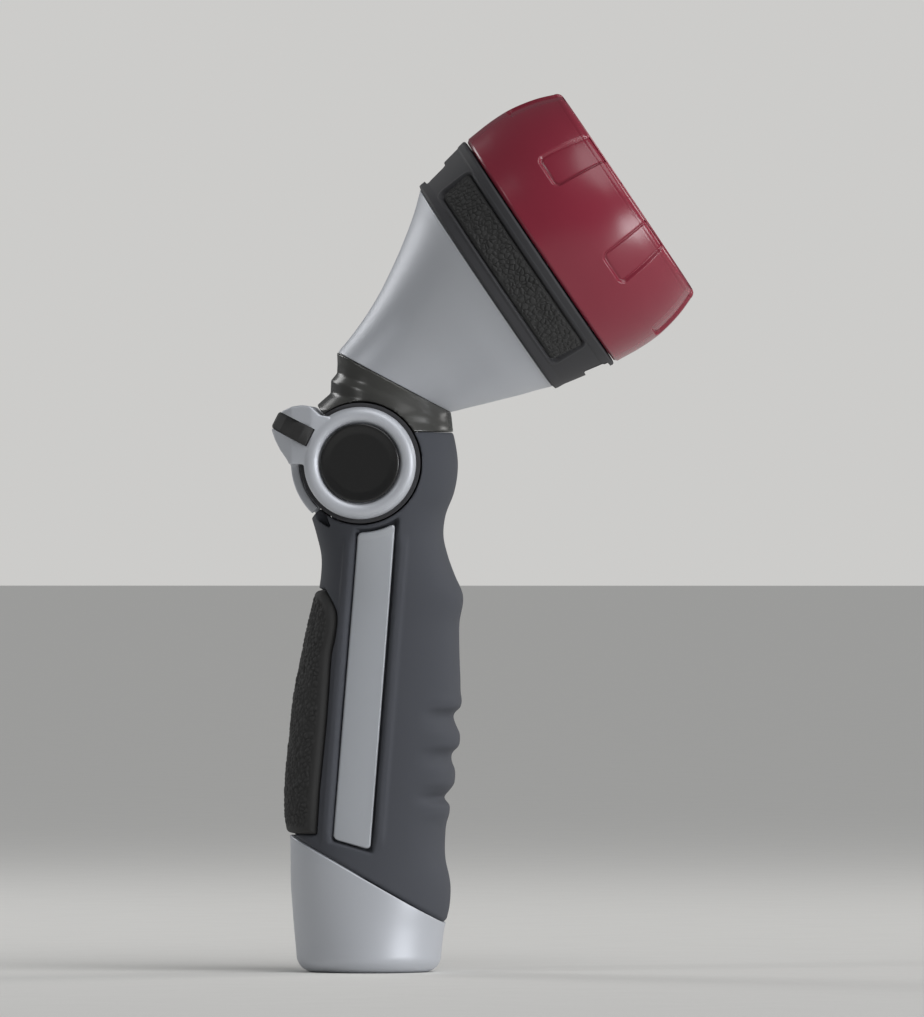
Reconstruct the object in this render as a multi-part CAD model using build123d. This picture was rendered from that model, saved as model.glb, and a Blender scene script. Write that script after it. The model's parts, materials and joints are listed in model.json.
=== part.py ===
"""Thumb-controlled hose spray nozzle with a seven-pattern dial, in millimetres.

Row frame: origin at the centre of the hose inlet's mouth, +Z up the handle, +X towards the
spray side, symmetric about the XZ plane. Each separate piece is written to parts/NODE.step.
"""

from build123d import *
from math import cos, pi, radians, sin
import os

# ---- driving dimensions: handle -------------------------------------------------------------
HUB_HEIGHT = 127.1          # thumb valve axis above the inlet mouth
HUB_X = -1.6                # thumb valve axis, behind the inlet axis
BASE_ROUND = 4.0            # rounding of the foot's rim
FOOT_WALL = 1.9             # foot outside the water tube's skirt
GRIP_WAIST = 0.3            # grip's sides inside the foot's radius
SLEEVE_WALL = 3.0           # rubber sleeve over the hard frame
FRAME_WALL = 2.4            # hard frame halves under the sleeve
PAD_PROUD = 0.8             # rear pad above the sleeve
PAD_DEPTH = 1.2             # rear pad below the sleeve's surface
INLAY_THICK = 1.5
INLAY_SINK = 0.3            # inlay's face below the sleeve's surface
PARTING_REAR_HEIGHT = 34.7      # slanted line between foot and sleeve
PARTING_REAR_OUT = 2.4          # beyond the foot's radius
PARTING_FRONT_HEIGHT = 12.4
PARTING_FRONT_OUT = 1.4
GAP = 0.05                  # between pieces of one body that face each other
MOVE_GAP = 0.3              # between bodies that move past each other

# ---- driving dimensions: hose inlet (3/4 inch garden hose, female) ---------------------------
THREAD_MINOR_R = 12.3
THREAD_DEEP = 1.4           # thread's depth, and the mouth's clearance round it
INSERT_WALL = 1.5
SKIRT_WALL = 0.8
MOUTH_LIP = 1.0
THREAD_LENGTH = 11.0
SKIRT_RISE = 1.2            # skirt's lower edge above the insert's
WASHER_THICK = 3.0
WASHER_HOLE_R = 8.0
SCREEN_THICK = 0.8
BORE_R = 5.0                # waterway up the handle
TUBE_R = 7.0
TUBE_X = 1.0                # water tube's axis, ahead of the inlet axis
MOUTH_R = THREAD_MINOR_R + THREAD_DEEP
INSERT_R = MOUTH_R + INSERT_WALL
SKIRT_R = INSERT_R + SKIRT_WALL
BASE_R = SKIRT_R + FOOT_WALL
GRIP_HALF = BASE_R - GRIP_WAIST
PARTING_REAR = (-BASE_R - PARTING_REAR_OUT, PARTING_REAR_HEIGHT)
PARTING_FRONT = (BASE_R + PARTING_FRONT_OUT, PARTING_FRONT_HEIGHT)
WASHER_R = MOUTH_R - 0.5

# ---- driving dimensions: thumb valve --------------------------------------------------------
DRUM_R = 15.0               # valve housing
DRUM_HALF = 17.0            # half its width
BARREL_R = 9.95
BARREL_RUN = 0.05           # running clearance in the housing
PORT_R = 3.6
SEAT_R = 5.4
SEAT_THICK = 2.0
RING_R = 14.0               # thumb lever's side rings
RING_WEB = 1.3
RING_THICK = 3.2
CAP_R = 9.9
CAP_RISE = 0.3              # cap's face inside the ring's face
SADDLE_THICK = 2.2
SADDLE_HALF = 12.5          # half the width of the lever's tail
LEVER_TIP_R = 24.2
LEVER_ANGLE = 153.0         # rubber rib's direction from the hub, at rest
LEVER_TRAVEL = 45.0
RIB_THICK = 4.6
TAIL_END = 226.0            # tail's end, as an angle round the hub
FORK_START = 181.5          # where the tail forks to pass the sleeve's tongue and the inlet's boss
LIP_ANGLE = 128.0           # where the neck's lip meets the lever
NUB_ANGLE = 227.5           # where the sleeve begins again below the lever

# ---- driving dimensions: head ---------------------------------------------------------------
HEAD_ANGLE = 33.9           # spray axis above the horizontal
HEAD_REACH = 66.5           # hub to the dial's back, along the spray axis
HEAD_RISE = 19.1            # spray axis above the hub, square to the axis
CONE_WALL = 2.0
COLLAR_FLARE = 4.3          # dial outside the cone's rim
COLLAR_LENGTH = 16.2
COLLAR_WALL = 3.0
DIAL_R = 33.9
DIAL_LENGTH = 26.4
BEZEL_WALL = 6.0            # dial outside its inner discs
PATTERNS = 7
CHAMBER_R = 6.2             # water chamber behind each spray's opening
CHAMBER_EDGE = 4.2          # from the chambers to the inner discs' edge
GRIP_WIDE = 9.3             # finger recess in the dial
GRIP_LONG = 12.5
GRIP_DEEP = 0.8
OUTLET_R = 7.5              # outlet tube
OUTLET_BORE_R = 5.5
SCREW_R = 4.0               # centre screw's shoulder
CONE_RIM_R = DIAL_R - COLLAR_FLARE
CORE_R = DIAL_R - BEZEL_WALL
PATTERN_R = CORE_R - CHAMBER_R - CHAMBER_EDGE

HALF_TURN = 180.0
FAR = 200.0


# ---- frames ---------------------------------------------------------------------------------
def head_direction():
    """Unit vectors of the spray axis and of the axis square to it, upwards."""
    a = radians(HEAD_ANGLE)
    return Vector(cos(a), 0, sin(a)), Vector(-sin(a), 0, cos(a))


ALONG, ACROSS = head_direction()
HUB = Vector(HUB_X, 0, HUB_HEIGHT)
DIAL_BACK = HUB + ALONG * HEAD_REACH + ACROSS * HEAD_RISE
HEAD = Plane(origin=DIAL_BACK, x_dir=ACROSS, z_dir=ALONG)
HUB_PLANE = Plane(origin=HUB, x_dir=(1, 0, 0), z_dir=(0, -1, 0))


def head_point(axial, radial):
    """A point of the symmetry plane, from the dial's back and the spray axis."""
    return DIAL_BACK + ALONG * axial + ACROSS * radial


def on_head(shape):
    return HEAD.location * shape


def on_hub(shape):
    return HUB_PLANE.location * shape


def tube(r_out, r_in, low, high):
    """A ring about Z between two heights."""
    body = Pos(0, 0, low) * Cylinder(r_out, high - low, align=(Align.CENTER, Align.CENTER, Align.MIN))
    if r_in:
        body -= Pos(0, 0, low - 1) * Cylinder(
            r_in, high - low + 2, align=(Align.CENTER, Align.CENTER, Align.MIN))
    return body


def disc(r, low, high):
    return tube(r, 0, low, high)


def sector(r_in, r_out, start, end, half_width):
    """A piece of a ring about the hub, between two angles in degrees."""
    steps = 8
    reach = r_out * 1.5
    rim = [(reach * cos(radians(start + (end - start) * i / steps)),
            reach * sin(radians(start + (end - start) * i / steps))) for i in range(steps + 1)]
    wedge = extrude(make_face(Polyline((0, 0), *rim, close=True)), half_width, both=True)
    ring = Cylinder(r_out, 2 * half_width)
    if r_in:
        ring -= Cylinder(r_in, 2 * half_width + 1)
    return on_hub(ring & wedge)


# ---- handle envelope ------------------------------------------------------------------------
# height as a share of the hub's height, rear and front outside the foot's radius, half width as a
# share of the grip's, squareness
GRIP_STATIONS = [
    (0.085, 0.7, 0.8, 1.02, 2.0),
    (0.165, 1.7, 2.4, 1.01, 2.2),
    (0.255, 1.7, 1.5, 0.98, 2.4),
    (0.36, 2.5, 2.5, 0.97, 2.5),
    (0.50, 1.0, 4.7, 0.96, 2.5),
    (0.62, -1.6, 4.7, 0.94, 2.5),
    (0.725, -4.3, 5.4, 0.92, 2.4),
    (0.81, -6.1, 2.1, 0.92, 2.4),
    (0.875, -4.3, 0.6, 0.96, 2.5),
    (0.94, -0.9, 3.3, 1.02, 2.6),
    (1.00, -0.4, 4.2, 1.03, 2.6),
    (1.07, -1.9, 2.7, 0.97, 2.5),
]
SECTION_POINTS = 20


def section(x_rear, x_front, half_width, power, z):
    """A rounded-box section: a superellipse as one closed spline."""
    mid = (x_rear + x_front) / 2
    half_depth = (x_front - x_rear) / 2
    points = []
    for i in range(SECTION_POINTS):
        t = 2 * pi * i / SECTION_POINTS
        c, s = cos(t), sin(t)
        x = half_depth * abs(c) ** (2 / power) * (1 if c >= 0 else -1)
        y = half_width * abs(s) ** (2 / power) * (1 if s >= 0 else -1)
        points.append((mid + x, y))
    return Pos(0, 0, z) * make_face(Spline(*points, periodic=True))


def handle_form(grow=0.0):
    """The grip's outer form, grown or shrunk square to its long axis."""
    size = BASE_R + grow
    foot = [section(-size, size, size, 2.0, z) for z in (0.0, 5.0)]
    rest = [section(-size - rear, size + front, share * GRIP_HALF + grow, power, HUB_HEIGHT * height)
            for height, rear, front, share, power in GRIP_STATIONS]
    return loft(foot + rest)


def half_space(point, normal):
    """A large block on the side of a plane that the normal points to."""
    plane = Plane(origin=point, z_dir=normal)
    return plane.location * Box(2 * FAR, 2 * FAR, 2 * FAR, align=(Align.CENTER, Align.CENTER, Align.MIN))


def above_parting(shift=0.0):
    """The side of the ferrule's slanted parting plane where the grip is."""
    dx = PARTING_FRONT[0] - PARTING_REAR[0]
    dz = PARTING_FRONT[1] - PARTING_REAR[1]
    point = (PARTING_REAR[0], 0, PARTING_REAR[1] + shift)
    return half_space(point, (-dz, 0, dx))


def side_prism(points, half_width=40.0):
    """An outline in the XZ plane, extruded to both sides."""
    face = make_face(Polyline(*[(x, z) for x, z in points], close=True))
    return Plane.XZ.location * extrude(face, half_width, both=True)


# ---- neck and cone --------------------------------------------------------------------------
# each section: upper end and lower end in the symmetry plane, as (axial, radial) from the
# dial's back, and half the width across
MITRE_TOP = (-56.1, 7.4)
MITRE_LOW = (-41.0, -20.8)
MITRE_HALF = 13.4
CONE_SECTIONS = [
    (MITRE_TOP, MITRE_LOW, MITRE_HALF),
    ((-48.0, 9.9), (-36.6, -22.4), 15.2),
    ((-39.0, 14.0), (-31.1, -24.4), 18.2),
    ((-28.0, 20.5), (-24.6, -26.9), 23.2),
    ((-COLLAR_LENGTH, CONE_RIM_R), (-COLLAR_LENGTH, -CONE_RIM_R), CONE_RIM_R),
]
# rear end and front end in the symmetry plane, from the hub, and half the width across
NECK_SECTIONS = [
    ((-12.0, -6.0), (22.6, -6.0), 17.6),
    ((-12.6, 7.5), (22.6, 5.2), 17.2),
    ((-9.6, 18.2), (22.2, 9.4), 15.3),
]


def slice_ellipse(top, low, half_width, grow=0.0):
    """An ellipse square to the symmetry plane, between two of its points."""
    span = top - low
    plane = Plane(origin=(top + low) / 2, x_dir=span.normalized(), z_dir=span.cross(Vector(0, 1, 0)))
    return plane.location * Ellipse(span.length / 2 + grow, half_width + grow)


def cone_form(grow=0.0):
    faces = [slice_ellipse(head_point(*top), head_point(*low), half, grow)
             for top, low, half in CONE_SECTIONS]
    return loft(faces)


def neck_form(grow=0.0):
    faces = [slice_ellipse(HUB + Vector(r[0], 0, r[1]), HUB + Vector(f[0], 0, f[1]), half, grow)
             for r, f, half in NECK_SECTIONS]
    faces.append(slice_ellipse(head_point(*MITRE_TOP), head_point(*MITRE_LOW), MITRE_HALF, grow))
    return loft(faces)


NECK_PARTING = HUB_HEIGHT + 7.7


# ---- clearances round the lever -------------------------------------------------------------
TAIL_R = DRUM_R + MOVE_GAP + SADDLE_THICK


def lever_room():
    """What the lever sweeps, with its clearance: cut from the pieces that surround it."""
    wide = sector(0, LEVER_TIP_R + 1.2, LIP_ANGLE, NUB_ANGLE, FAR / 4)
    tail = sector(DRUM_R - 0.5, TAIL_R + MOVE_GAP, NUB_ANGLE - 3, TAIL_END + LEVER_TRAVEL + 3,
                  SADDLE_HALF + 0.5)
    tail -= sector(DRUM_R - 1, TAIL_R + 1, NUB_ANGLE - 4, TAIL_END + LEVER_TRAVEL + 4, INLET_BOSS_R)
    wells = on_hub(Pos(0, 0, DRUM_HALF) * disc(RING_R + 0.5, 0, 10)
                   + Pos(0, 0, -DRUM_HALF) * disc(RING_R + 0.5, -10, 0))
    return wide + tail + wells


def drum_room():
    return on_hub(Cylinder(DRUM_R + GAP, 4 * DRUM_HALF))


# ---- hose inlet -----------------------------------------------------------------------------
THREAD_TOP = MOUTH_LIP + THREAD_LENGTH
WASHER_TOP = THREAD_TOP + WASHER_THICK
CUP_TOP = WASHER_TOP + SCREEN_THICK


def make_thread_insert():
    body = tube(INSERT_R, THREAD_MINOR_R, MOUTH_LIP, THREAD_TOP)
    flats = PolarLocations(INSERT_R, 12)
    return body - [loc * Pos(0.3, 0, (MOUTH_LIP + THREAD_TOP) / 2 + 2) * Box(1, 1.6, THREAD_LENGTH)
                   for loc in flats]


def make_hose_washer():
    return tube(WASHER_R, WASHER_HOLE_R, THREAD_TOP, WASHER_TOP - GAP)


def make_inlet_screen():
    plate = disc(WASHER_R, WASHER_TOP, CUP_TOP - GAP)
    holes = [loc * Cylinder(0.75, 4 * SCREEN_THICK) for loc in HexLocations(1.15, 7, 7)]
    return plate - [Pos(0, 0, WASHER_TOP) * h for h in holes]


def make_water_tube():
    """Skirt round the thread insert, washer cup and the tube up to the valve."""
    top = HUB_HEIGHT - DRUM_R - 3
    skirt = tube(SKIRT_R, INSERT_R + GAP, MOUTH_LIP + SKIRT_RISE, THREAD_TOP + GAP)
    cup = tube(SKIRT_R, WASHER_R + GAP, THREAD_TOP + GAP, CUP_TOP)
    floor = tube(SKIRT_R, BORE_R, CUP_TOP, CUP_TOP + 3)
    shaft = Pos(TUBE_X, 0, 0) * tube(TUBE_R, BORE_R, CUP_TOP + 2, top)
    clear = Pos(TUBE_X, 0, 0) * disc(BORE_R, CUP_TOP - 1, top + 1)
    ribs = [Rot(0, 0, a) * Pos(0, 0, CUP_TOP + 3) * rib_web() for a in (45, 135, 225, 315)]
    groove = Pos(TUBE_X, 0, top - 5) * tube(TUBE_R + 1, TUBE_R - JOINT_GROOVE, 0, JOINT_GROOVE + 0.1)
    return skirt + cup + (floor + shaft + ribs - clear) - groove


def rib_web():
    """A buttress between the cup's floor and the tube."""
    face = make_face(Polyline((TUBE_R - 1.5, 0), (SKIRT_R - 0.5, 0), (TUBE_R - 1.5, 14), close=True))
    return Plane.XZ.location * extrude(face, 1.0, both=True)


def make_base_ferrule():
    form = handle_form() - above_parting(-GAP)
    form -= tube(FAR, BASE_R - BASE_ROUND, -1, BASE_ROUND) - foot_round()
    form -= disc(INSERT_R + GAP, MOUTH_LIP, THREAD_TOP)
    form -= disc(SKIRT_R + GAP, MOUTH_LIP + SKIRT_RISE - GAP, PARTING_REAR[1] + 5)
    form -= disc(MOUTH_R, -1, MOUTH_LIP + 1)
    return form


def foot_round():
    """The rounded rim of the foot: a ring of quarter-round section and the disc inside it."""
    centre = BASE_R - BASE_ROUND
    ring = Pos(0, 0, BASE_ROUND) * Torus(centre, BASE_ROUND)
    return ring + disc(centre, 0, 2 * BASE_ROUND)


# ---- grip -----------------------------------------------------------------------------------
INLAY_LOW = PARTING_REAR[1] - 2.5
INLAY_HIGH = HUB_HEIGHT - RING_R - 2.4
INLAY_X = -8.7              # its rear edge, at the lower end
INLAY_WIDE = 9.6
INLAY_LEAN = 4.6
INLAY_CHANNEL = 0.7         # channel outside the inlay
PAD_LOW = PARTING_REAR[1] - 0.1
PAD_HIGH = HUB_HEIGHT - 31.5
# distance below the hub, front of the grip there outside the foot's radius, depth
FINGER_NOTCHES = [(62.1, 4.7, 1.0), (73.1, 3.3, 1.2), (83.1, 2.3, 1.3)]
NOTCH_R = 2.6


def inlay_outline(extra=0.0):
    """The leaning strip's outline: a slanted lower end and an upper end that follows the hub."""
    lean = sin(radians(INLAY_LEAN))
    shift = lean * (INLAY_HIGH - INLAY_LOW)
    rear, front = INLAY_X - extra, INLAY_X + INLAY_WIDE + extra
    left_low = (rear, INLAY_LOW + 1.5 - extra)
    right_low = (front, INLAY_LOW - 1.3 - extra)
    right_high = (front + shift, INLAY_HIGH + 1.0 + extra)
    left_high = (rear + shift, INLAY_HIGH - 0.7 + extra)
    return [left_low, right_low, right_high, left_high]


def pad_outline(extra=0.0):
    """The rear pad's inner boundary in side view, closed well behind the grip."""
    rise = PAD_HIGH - PAD_LOW
    inner = [(-12.9, 0.0), (-11.6, 0.266), (-9.9, 0.579), (-8.2, 0.912), (-10.6, 1.0)]
    inner = [(x + extra, PAD_LOW + share * rise) for x, share in inner]
    low, high = inner[0][1] - extra, inner[-1][1] + extra
    return [(-60, low), (inner[0][0], low)] + inner[1:-1] + [(inner[-1][0], high), (-60, high)]


def finger_notches():
    """Shallow grooves across the front of the grip."""
    cuts = []
    for below, front, deep in FINGER_NOTCHES:
        x = BASE_R + front + NOTCH_R - deep
        cuts.append(Pos(x, 0, HUB_HEIGHT - below) * Rot(90, 0, 0) * Cylinder(NOTCH_R, FAR))
    return cuts


def make_grip_sleeve():
    body = handle_form() & above_parting()
    body -= handle_form(-SLEEVE_WALL)
    body -= half_space((0, 0, NECK_PARTING), (0, 0, 1))
    body -= side_prism(pad_outline(GAP)) - handle_form(-PAD_DEPTH - GAP)
    channel = side_prism(inlay_outline(INLAY_CHANNEL)) - handle_form(-INLAY_THICK - INLAY_SINK - GAP)
    body -= channel
    body -= finger_notches()
    body -= disc(SKIRT_R + GAP, MOUTH_LIP, CUP_TOP + 3 + GAP)
    body -= drum_room()
    return body - lever_room()


def make_rear_grip_pad():
    band = handle_form(PAD_PROUD) - handle_form(-PAD_DEPTH)
    return band & side_prism(pad_outline())


def make_inlays():
    band = handle_form(-INLAY_SINK) - handle_form(-INLAY_SINK - INLAY_THICK)
    strip = band & side_prism(inlay_outline())
    right = strip & half_space((0, 0, 0), (0, -1, 0))
    left = strip & half_space((0, 0, 0), (0, 1, 0))
    return right, left


def make_frames():
    """Two hard halves under the sleeve, split on the symmetry plane."""
    body = handle_form(-SLEEVE_WALL - GAP) - handle_form(-SLEEVE_WALL - FRAME_WALL)
    body &= half_space((0, 0, PARTING_REAR[1] + 4), (0, 0, 1))
    body -= half_space((0, 0, NECK_PARTING - GAP), (0, 0, 1))
    spacers = [Pos(TUBE_X, 0, HUB_HEIGHT * h) * frame_web() for h in (0.42, 0.6, 0.78)]
    body += [s & handle_form(-SLEEVE_WALL - GAP) for s in spacers]
    body -= drum_room()
    body -= on_hub(Cylinder(TAIL_R + 2.2, 4 * DRUM_HALF))
    body -= Pos(TUBE_X, 0, 0) * disc(INLET_BOSS_R + GAP, HUB_HEIGHT - DRUM_R - 12 - GAP, HUB_HEIGHT)
    halves = []
    for side in (-1, 1):
        half = body & half_space((0, side * GAP / 2, 0), (0, side, 0))
        halves.append(max(half.solids(), key=lambda s: s.volume))
    return halves


def frame_web():
    """A web that holds the water tube in the middle of the frame."""
    return Box(60, 60, 2.0) - Cylinder(TUBE_R + GAP, 4)


# ---- thumb valve ----------------------------------------------------------------------------
OUTLET_ANGLE = 68.5         # from the hub towards the neck
INLET_ANGLE = 278.0         # from the hub towards the water tube
INLET_BOSS_R = TUBE_R + 2.0
JOINT_GROOVE = 1.0          # O-ring groove's depth at the tube joints
OUTLET_GROOVE_AT = 19.5     # outlet joint's O-ring, from the hub
BOSS_R = OUTLET_R + 2.2
BOSS_REACH = 23.0
BUSH_WALL = 2.2
BUSH_LENGTH = 4.0


def spoke(angle, r, low, high):
    """A cylinder that runs outwards from the hub."""
    turned = Rot(0, -angle, 0) * Rot(0, 90, 0) * disc(r, low, high)
    return Pos(*HUB) * turned


def make_valve_housing():
    drum = on_hub(Cylinder(DRUM_R, 2 * DRUM_HALF))
    inlet = Pos(TUBE_X, 0, 0) * disc(INLET_BOSS_R, HUB_HEIGHT - DRUM_R - 12, HUB_HEIGHT)
    body = drum + inlet + spoke(OUTLET_ANGLE, BOSS_R, 0, BOSS_REACH)
    body -= on_hub(Cylinder(BARREL_R + BARREL_RUN, 3 * DRUM_HALF))
    body -= Pos(TUBE_X, 0, 0) * disc(TUBE_R + GAP, 0, HUB_HEIGHT - DRUM_R - 3 + GAP)
    body -= spoke(INLET_ANGLE, PORT_R, 0, DRUM_R + 5)
    body -= spoke(INLET_ANGLE, SEAT_R, 0, BARREL_R + SEAT_THICK)
    body -= spoke(OUTLET_ANGLE, PORT_R, 0, DRUM_R + 2)
    body -= spoke(OUTLET_ANGLE, SEAT_R, 0, BARREL_R + SEAT_THICK)
    body -= spoke(OUTLET_ANGLE, OUTLET_R + GAP, DRUM_R + 1, BOSS_REACH + 5)
    groove = spoke(OUTLET_ANGLE, OUTLET_R + JOINT_GROOVE + GAP, OUTLET_GROOVE_AT - 0.6, OUTLET_GROOVE_AT + 0.6)
    return body - groove - bush_room()


def bush_room():
    end = disc(BARREL_R + BUSH_WALL, DRUM_HALF - BUSH_LENGTH, DRUM_HALF + 1)
    return [on_hub(Rot(side, 0, 0) * end) for side in (0, HALF_TURN)]


def make_valve_bushes():
    low = DRUM_HALF - BUSH_LENGTH
    end = tube(BARREL_R + BUSH_WALL - GAP, BARREL_R + BARREL_RUN, low, DRUM_HALF)
    return Compound([on_hub(Rot(side, 0, 0) * end) for side in (0, HALF_TURN)])


def make_valve_seats():
    """Rubber seats between the barrel and the two waterways."""
    seats = []
    for angle in (INLET_ANGLE, OUTLET_ANGLE):
        seat = spoke(angle, SEAT_R - GAP, BARREL_R - 2, BARREL_R + SEAT_THICK - GAP)
        seat -= spoke(angle, PORT_R, 0, 20)
        seats.append(seat - on_hub(Cylinder(BARREL_R + BARREL_RUN, 60)))
    return Compound(seats)


DRIVE = 9.0                 # square end of the barrel
DRIVE_TOP = DRUM_HALF + MOVE_GAP + RING_WEB
SEAL_R = 0.9
SEAL_AT = 10.0
LEVER_SCREW_R = 1.6


def make_valve_barrel():
    body = Cylinder(BARREL_R, 2 * DRUM_HALF)
    body += Box(DRIVE, DRIVE, 2 * DRIVE_TOP)
    closed = (OUTLET_ANGLE + INLET_ANGLE - HALF_TURN) / 2 - LEVER_TRAVEL
    body -= Rot(0, 0, closed) * Rot(0, 90, 0) * Cylinder(PORT_R, 60)
    groove = tube(BARREL_R + 1, BARREL_R - 2 * SEAL_R + GAP, -1.2, 1.2)
    body -= [Pos(0, 0, z) * groove for z in (-SEAL_AT, SEAL_AT)]
    body -= [Pos(0, 0, s * (DRIVE_TOP - 4)) * Cylinder(LEVER_SCREW_R, 8.02) for s in (-1, 1)]
    return on_hub(body)


def make_barrel_seals():
    ring = Torus(BARREL_R - SEAL_R + GAP / 2, SEAL_R - GAP / 2)
    return Compound([on_hub(Pos(0, 0, z) * ring) for z in (-SEAL_AT, SEAL_AT)])


def make_lever_screws():
    screws = []
    for side in (0, HALF_TURN):
        screw = disc(3.4, DRIVE_TOP + 0.02, DRIVE_TOP + 1.1)
        screw += disc(LEVER_SCREW_R, DRIVE_TOP - 7, DRIVE_TOP + 0.5)
        screw -= Pos(0, 0, DRIVE_TOP + 1.1) * (Box(4.2, 0.8, 1.2) + Box(0.8, 4.2, 1.2))
        screws.append(on_hub(Rot(side, 0, 0) * screw))
    return Compound(screws)


def lever_wedge():
    """The thumb paddle in side view, from the hub: silver above and below the rubber rib."""
    outline = [(-8.0, 11.2), (-9.9, 11.9), (-12.3, 14.3), (-16.6, 14.1), (-19.2, 13.1), (-21.3, 11.2),
               (-22.0, 8.4), (-20.6, 4.2), (-17.7, 0.4), (-13.0, -1.0)]
    return on_hub(extrude(make_face(Polyline(*outline, close=True)), RING_FACE, both=True))


RING_FACE = DRUM_HALF + MOVE_GAP + RING_THICK


def lever_taper(extra=0.0):
    """The paddle narrows towards its tip, in plan."""
    w, x = RING_FACE + extra, HUB_X
    plan = [(x + 20, -w), (x - 12, -w), (x - 18, -w + 2.6), (x - 23.6, -w + 7.5), (x - 26, -w + 11),
            (x - 26, w - 11), (x - 23.6, w - 7.5), (x - 18, w - 2.6), (x - 12, w), (x + 20, w)]
    return Pos(0, 0, HUB_HEIGHT - 40) * extrude(make_face(Polyline(*plan, close=True)), 80)


def rib_box(extra=0.0):
    """The rubber rib across the paddle, square to the spoke it stands on."""
    length = LEVER_TIP_R - RING_R - 0.2
    bar = Pos(RING_R + 0.2 + length / 2, 0, 0) * Box(length, RIB_THICK + 2 * extra, 2 * RING_FACE + 2)
    return on_hub(Rot(0, 0, LEVER_ANGLE) * bar)


def make_thumb_lever():
    rings = []
    for side in (0, HALF_TURN):
        low, high = DRUM_HALF + MOVE_GAP, RING_FACE
        ring = tube(RING_R, CAP_R + GAP, low, high) + disc(CAP_R + 1, low, low + RING_WEB)
        ring = chamfer(ring.edges().filter_by(GeomType.CIRCLE).group_by(Axis.Z)[-1], 0.7)
        ring -= Box(DRIVE + 0.04, DRIVE + 0.04, 100)
        rings.append(on_hub(Rot(side, 0, 0) * ring))
    wedge = lever_wedge() & lever_taper()
    wedge -= on_hub(Cylinder(DRUM_R + MOVE_GAP, 2 * (DRUM_HALF + MOVE_GAP)))
    wedge -= on_hub(Cylinder(RING_R - 1, 100))
    tail = sector(DRUM_R + MOVE_GAP, TAIL_R, 170, TAIL_END, SADDLE_HALF)
    tail -= sector(DRUM_R, TAIL_R + 1, FORK_START, TAIL_END + 5, INLET_BOSS_R + MOVE_GAP)
    return rings[0] + rings[1] + (wedge - rib_box(0.02)) + tail


def make_lever_pad():
    bar = rib_box() & lever_taper(0.2)
    return bar - on_hub(Cylinder(DRUM_R + MOVE_GAP + 0.4, 2 * (DRUM_HALF + MOVE_GAP + 0.4)))


def make_hub_caps():
    caps = []
    low = DRUM_HALF + MOVE_GAP + RING_WEB
    for side in (0, HALF_TURN):
        cap = disc(CAP_R - GAP, low + 0.02, RING_FACE - CAP_RISE)
        cap = chamfer(cap.edges().group_by(Axis.Z)[-1], 0.5)
        cap -= disc(4.2, low, low + 1.2)
        caps.append(on_hub(Rot(side, 0, 0) * cap))
    return caps


# ---- neck and head --------------------------------------------------------------------------
def make_neck_cover():
    body = neck_form() - neck_form(-2.2)
    body &= half_space((0, 0, NECK_PARTING), (0, 0, 1))
    return body - drum_room() - lever_room() - spoke(OUTLET_ANGLE, BOSS_R + 0.2, 0, BOSS_REACH + 2)


def make_cone_shroud():
    return cone_form() - cone_form(-CONE_WALL)


TUBE_END = -15.6


def make_outlet_tube():
    """From the valve's boss, through the neck, to the manifold's socket."""
    a = radians(OUTLET_ANGLE)
    out = Vector(cos(a), 0, sin(a))
    start = HUB + out * (DRUM_R + 1.1)
    bend = HUB + out * 24.5
    turn = head_point(-31, 0)
    end = head_point(TUBE_END, 0)
    path = FilletPolyline(start, bend, turn, end, radius=12)
    plane = Plane(origin=start, z_dir=out, x_dir=(0, 1, 0))
    return sweep(plane * (Circle(OUTLET_R) - Circle(OUTLET_BORE_R)), path=path)


MANIFOLD_R = CORE_R + 0.1
DISC_THICK = 3.0
PLATE_FACE = -0.5
PLATE_BACK = -6.5
TROUGH_HALF = 3.2
SCREW_CIRCLE = MANIFOLD_R - 4.2
MANIFOLD_SCREWS = [(SCREW_CIRCLE * cos(radians(a)), SCREW_CIRCLE * sin(radians(a)))
                   for a in (45, 135, 225, 315)]


def make_head_manifold():
    """Fixed water chamber behind the dial: socket, channel and flange."""
    flange = disc(MANIFOLD_R, PLATE_BACK - DISC_THICK, PLATE_BACK)
    mid = PATTERN_R / 2
    trough = Pos(mid, 0, PLATE_BACK - 8.5) * extrude(
        SlotOverall(PATTERN_R + 2 * TROUGH_HALF + 5, 2 * TROUGH_HALF + 5), 8.5)
    channel = Pos(mid, 0, PLATE_BACK - 6.0) * extrude(
        SlotOverall(PATTERN_R + 2 * TROUGH_HALF, 2 * TROUGH_HALF), 7)
    socket = disc(OUTLET_R + 2.2, TUBE_END - 8, PLATE_BACK - 2)
    body = flange + trough + socket - channel
    body -= disc(OUTLET_R + GAP, TUBE_END - 9, TUBE_END + 0.1)
    body -= disc(TROUGH_HALF, TUBE_END - 1, PLATE_BACK - 3)
    body += [Pos(x, y, 0) * disc(2.7, PLATE_BACK - 8, PLATE_BACK - 1) for x, y in MANIFOLD_SCREWS]
    body -= [Pos(x, y, 0) * disc(1.3, PLATE_BACK - 7, PLATE_BACK + 1) for x, y in MANIFOLD_SCREWS]
    return on_head(body)


SEAL_POCKET_R = 5.0
DETENT_R = CORE_R - 5.9
BALL_R = 2.0
DISC_BACK = 2.0


def make_manifold_plate():
    body = disc(MANIFOLD_R, PLATE_BACK + 0.01, PLATE_FACE)
    body -= Pos(PATTERN_R, 0, 0) * disc(SEAL_POCKET_R, PLATE_BACK - 1, 1)
    body -= Pos(-DETENT_R, 0, 0) * disc(BALL_R + GAP, PLATE_FACE - 5, 1)
    body -= disc(2.5, PLATE_BACK - 1, 1)
    for x, y in MANIFOLD_SCREWS:
        body -= Pos(x, y, 0) * (disc(1.5, PLATE_BACK - 1, 1) + disc(2.7, PLATE_FACE - 2.4, 1))
    return on_head(body)


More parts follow.
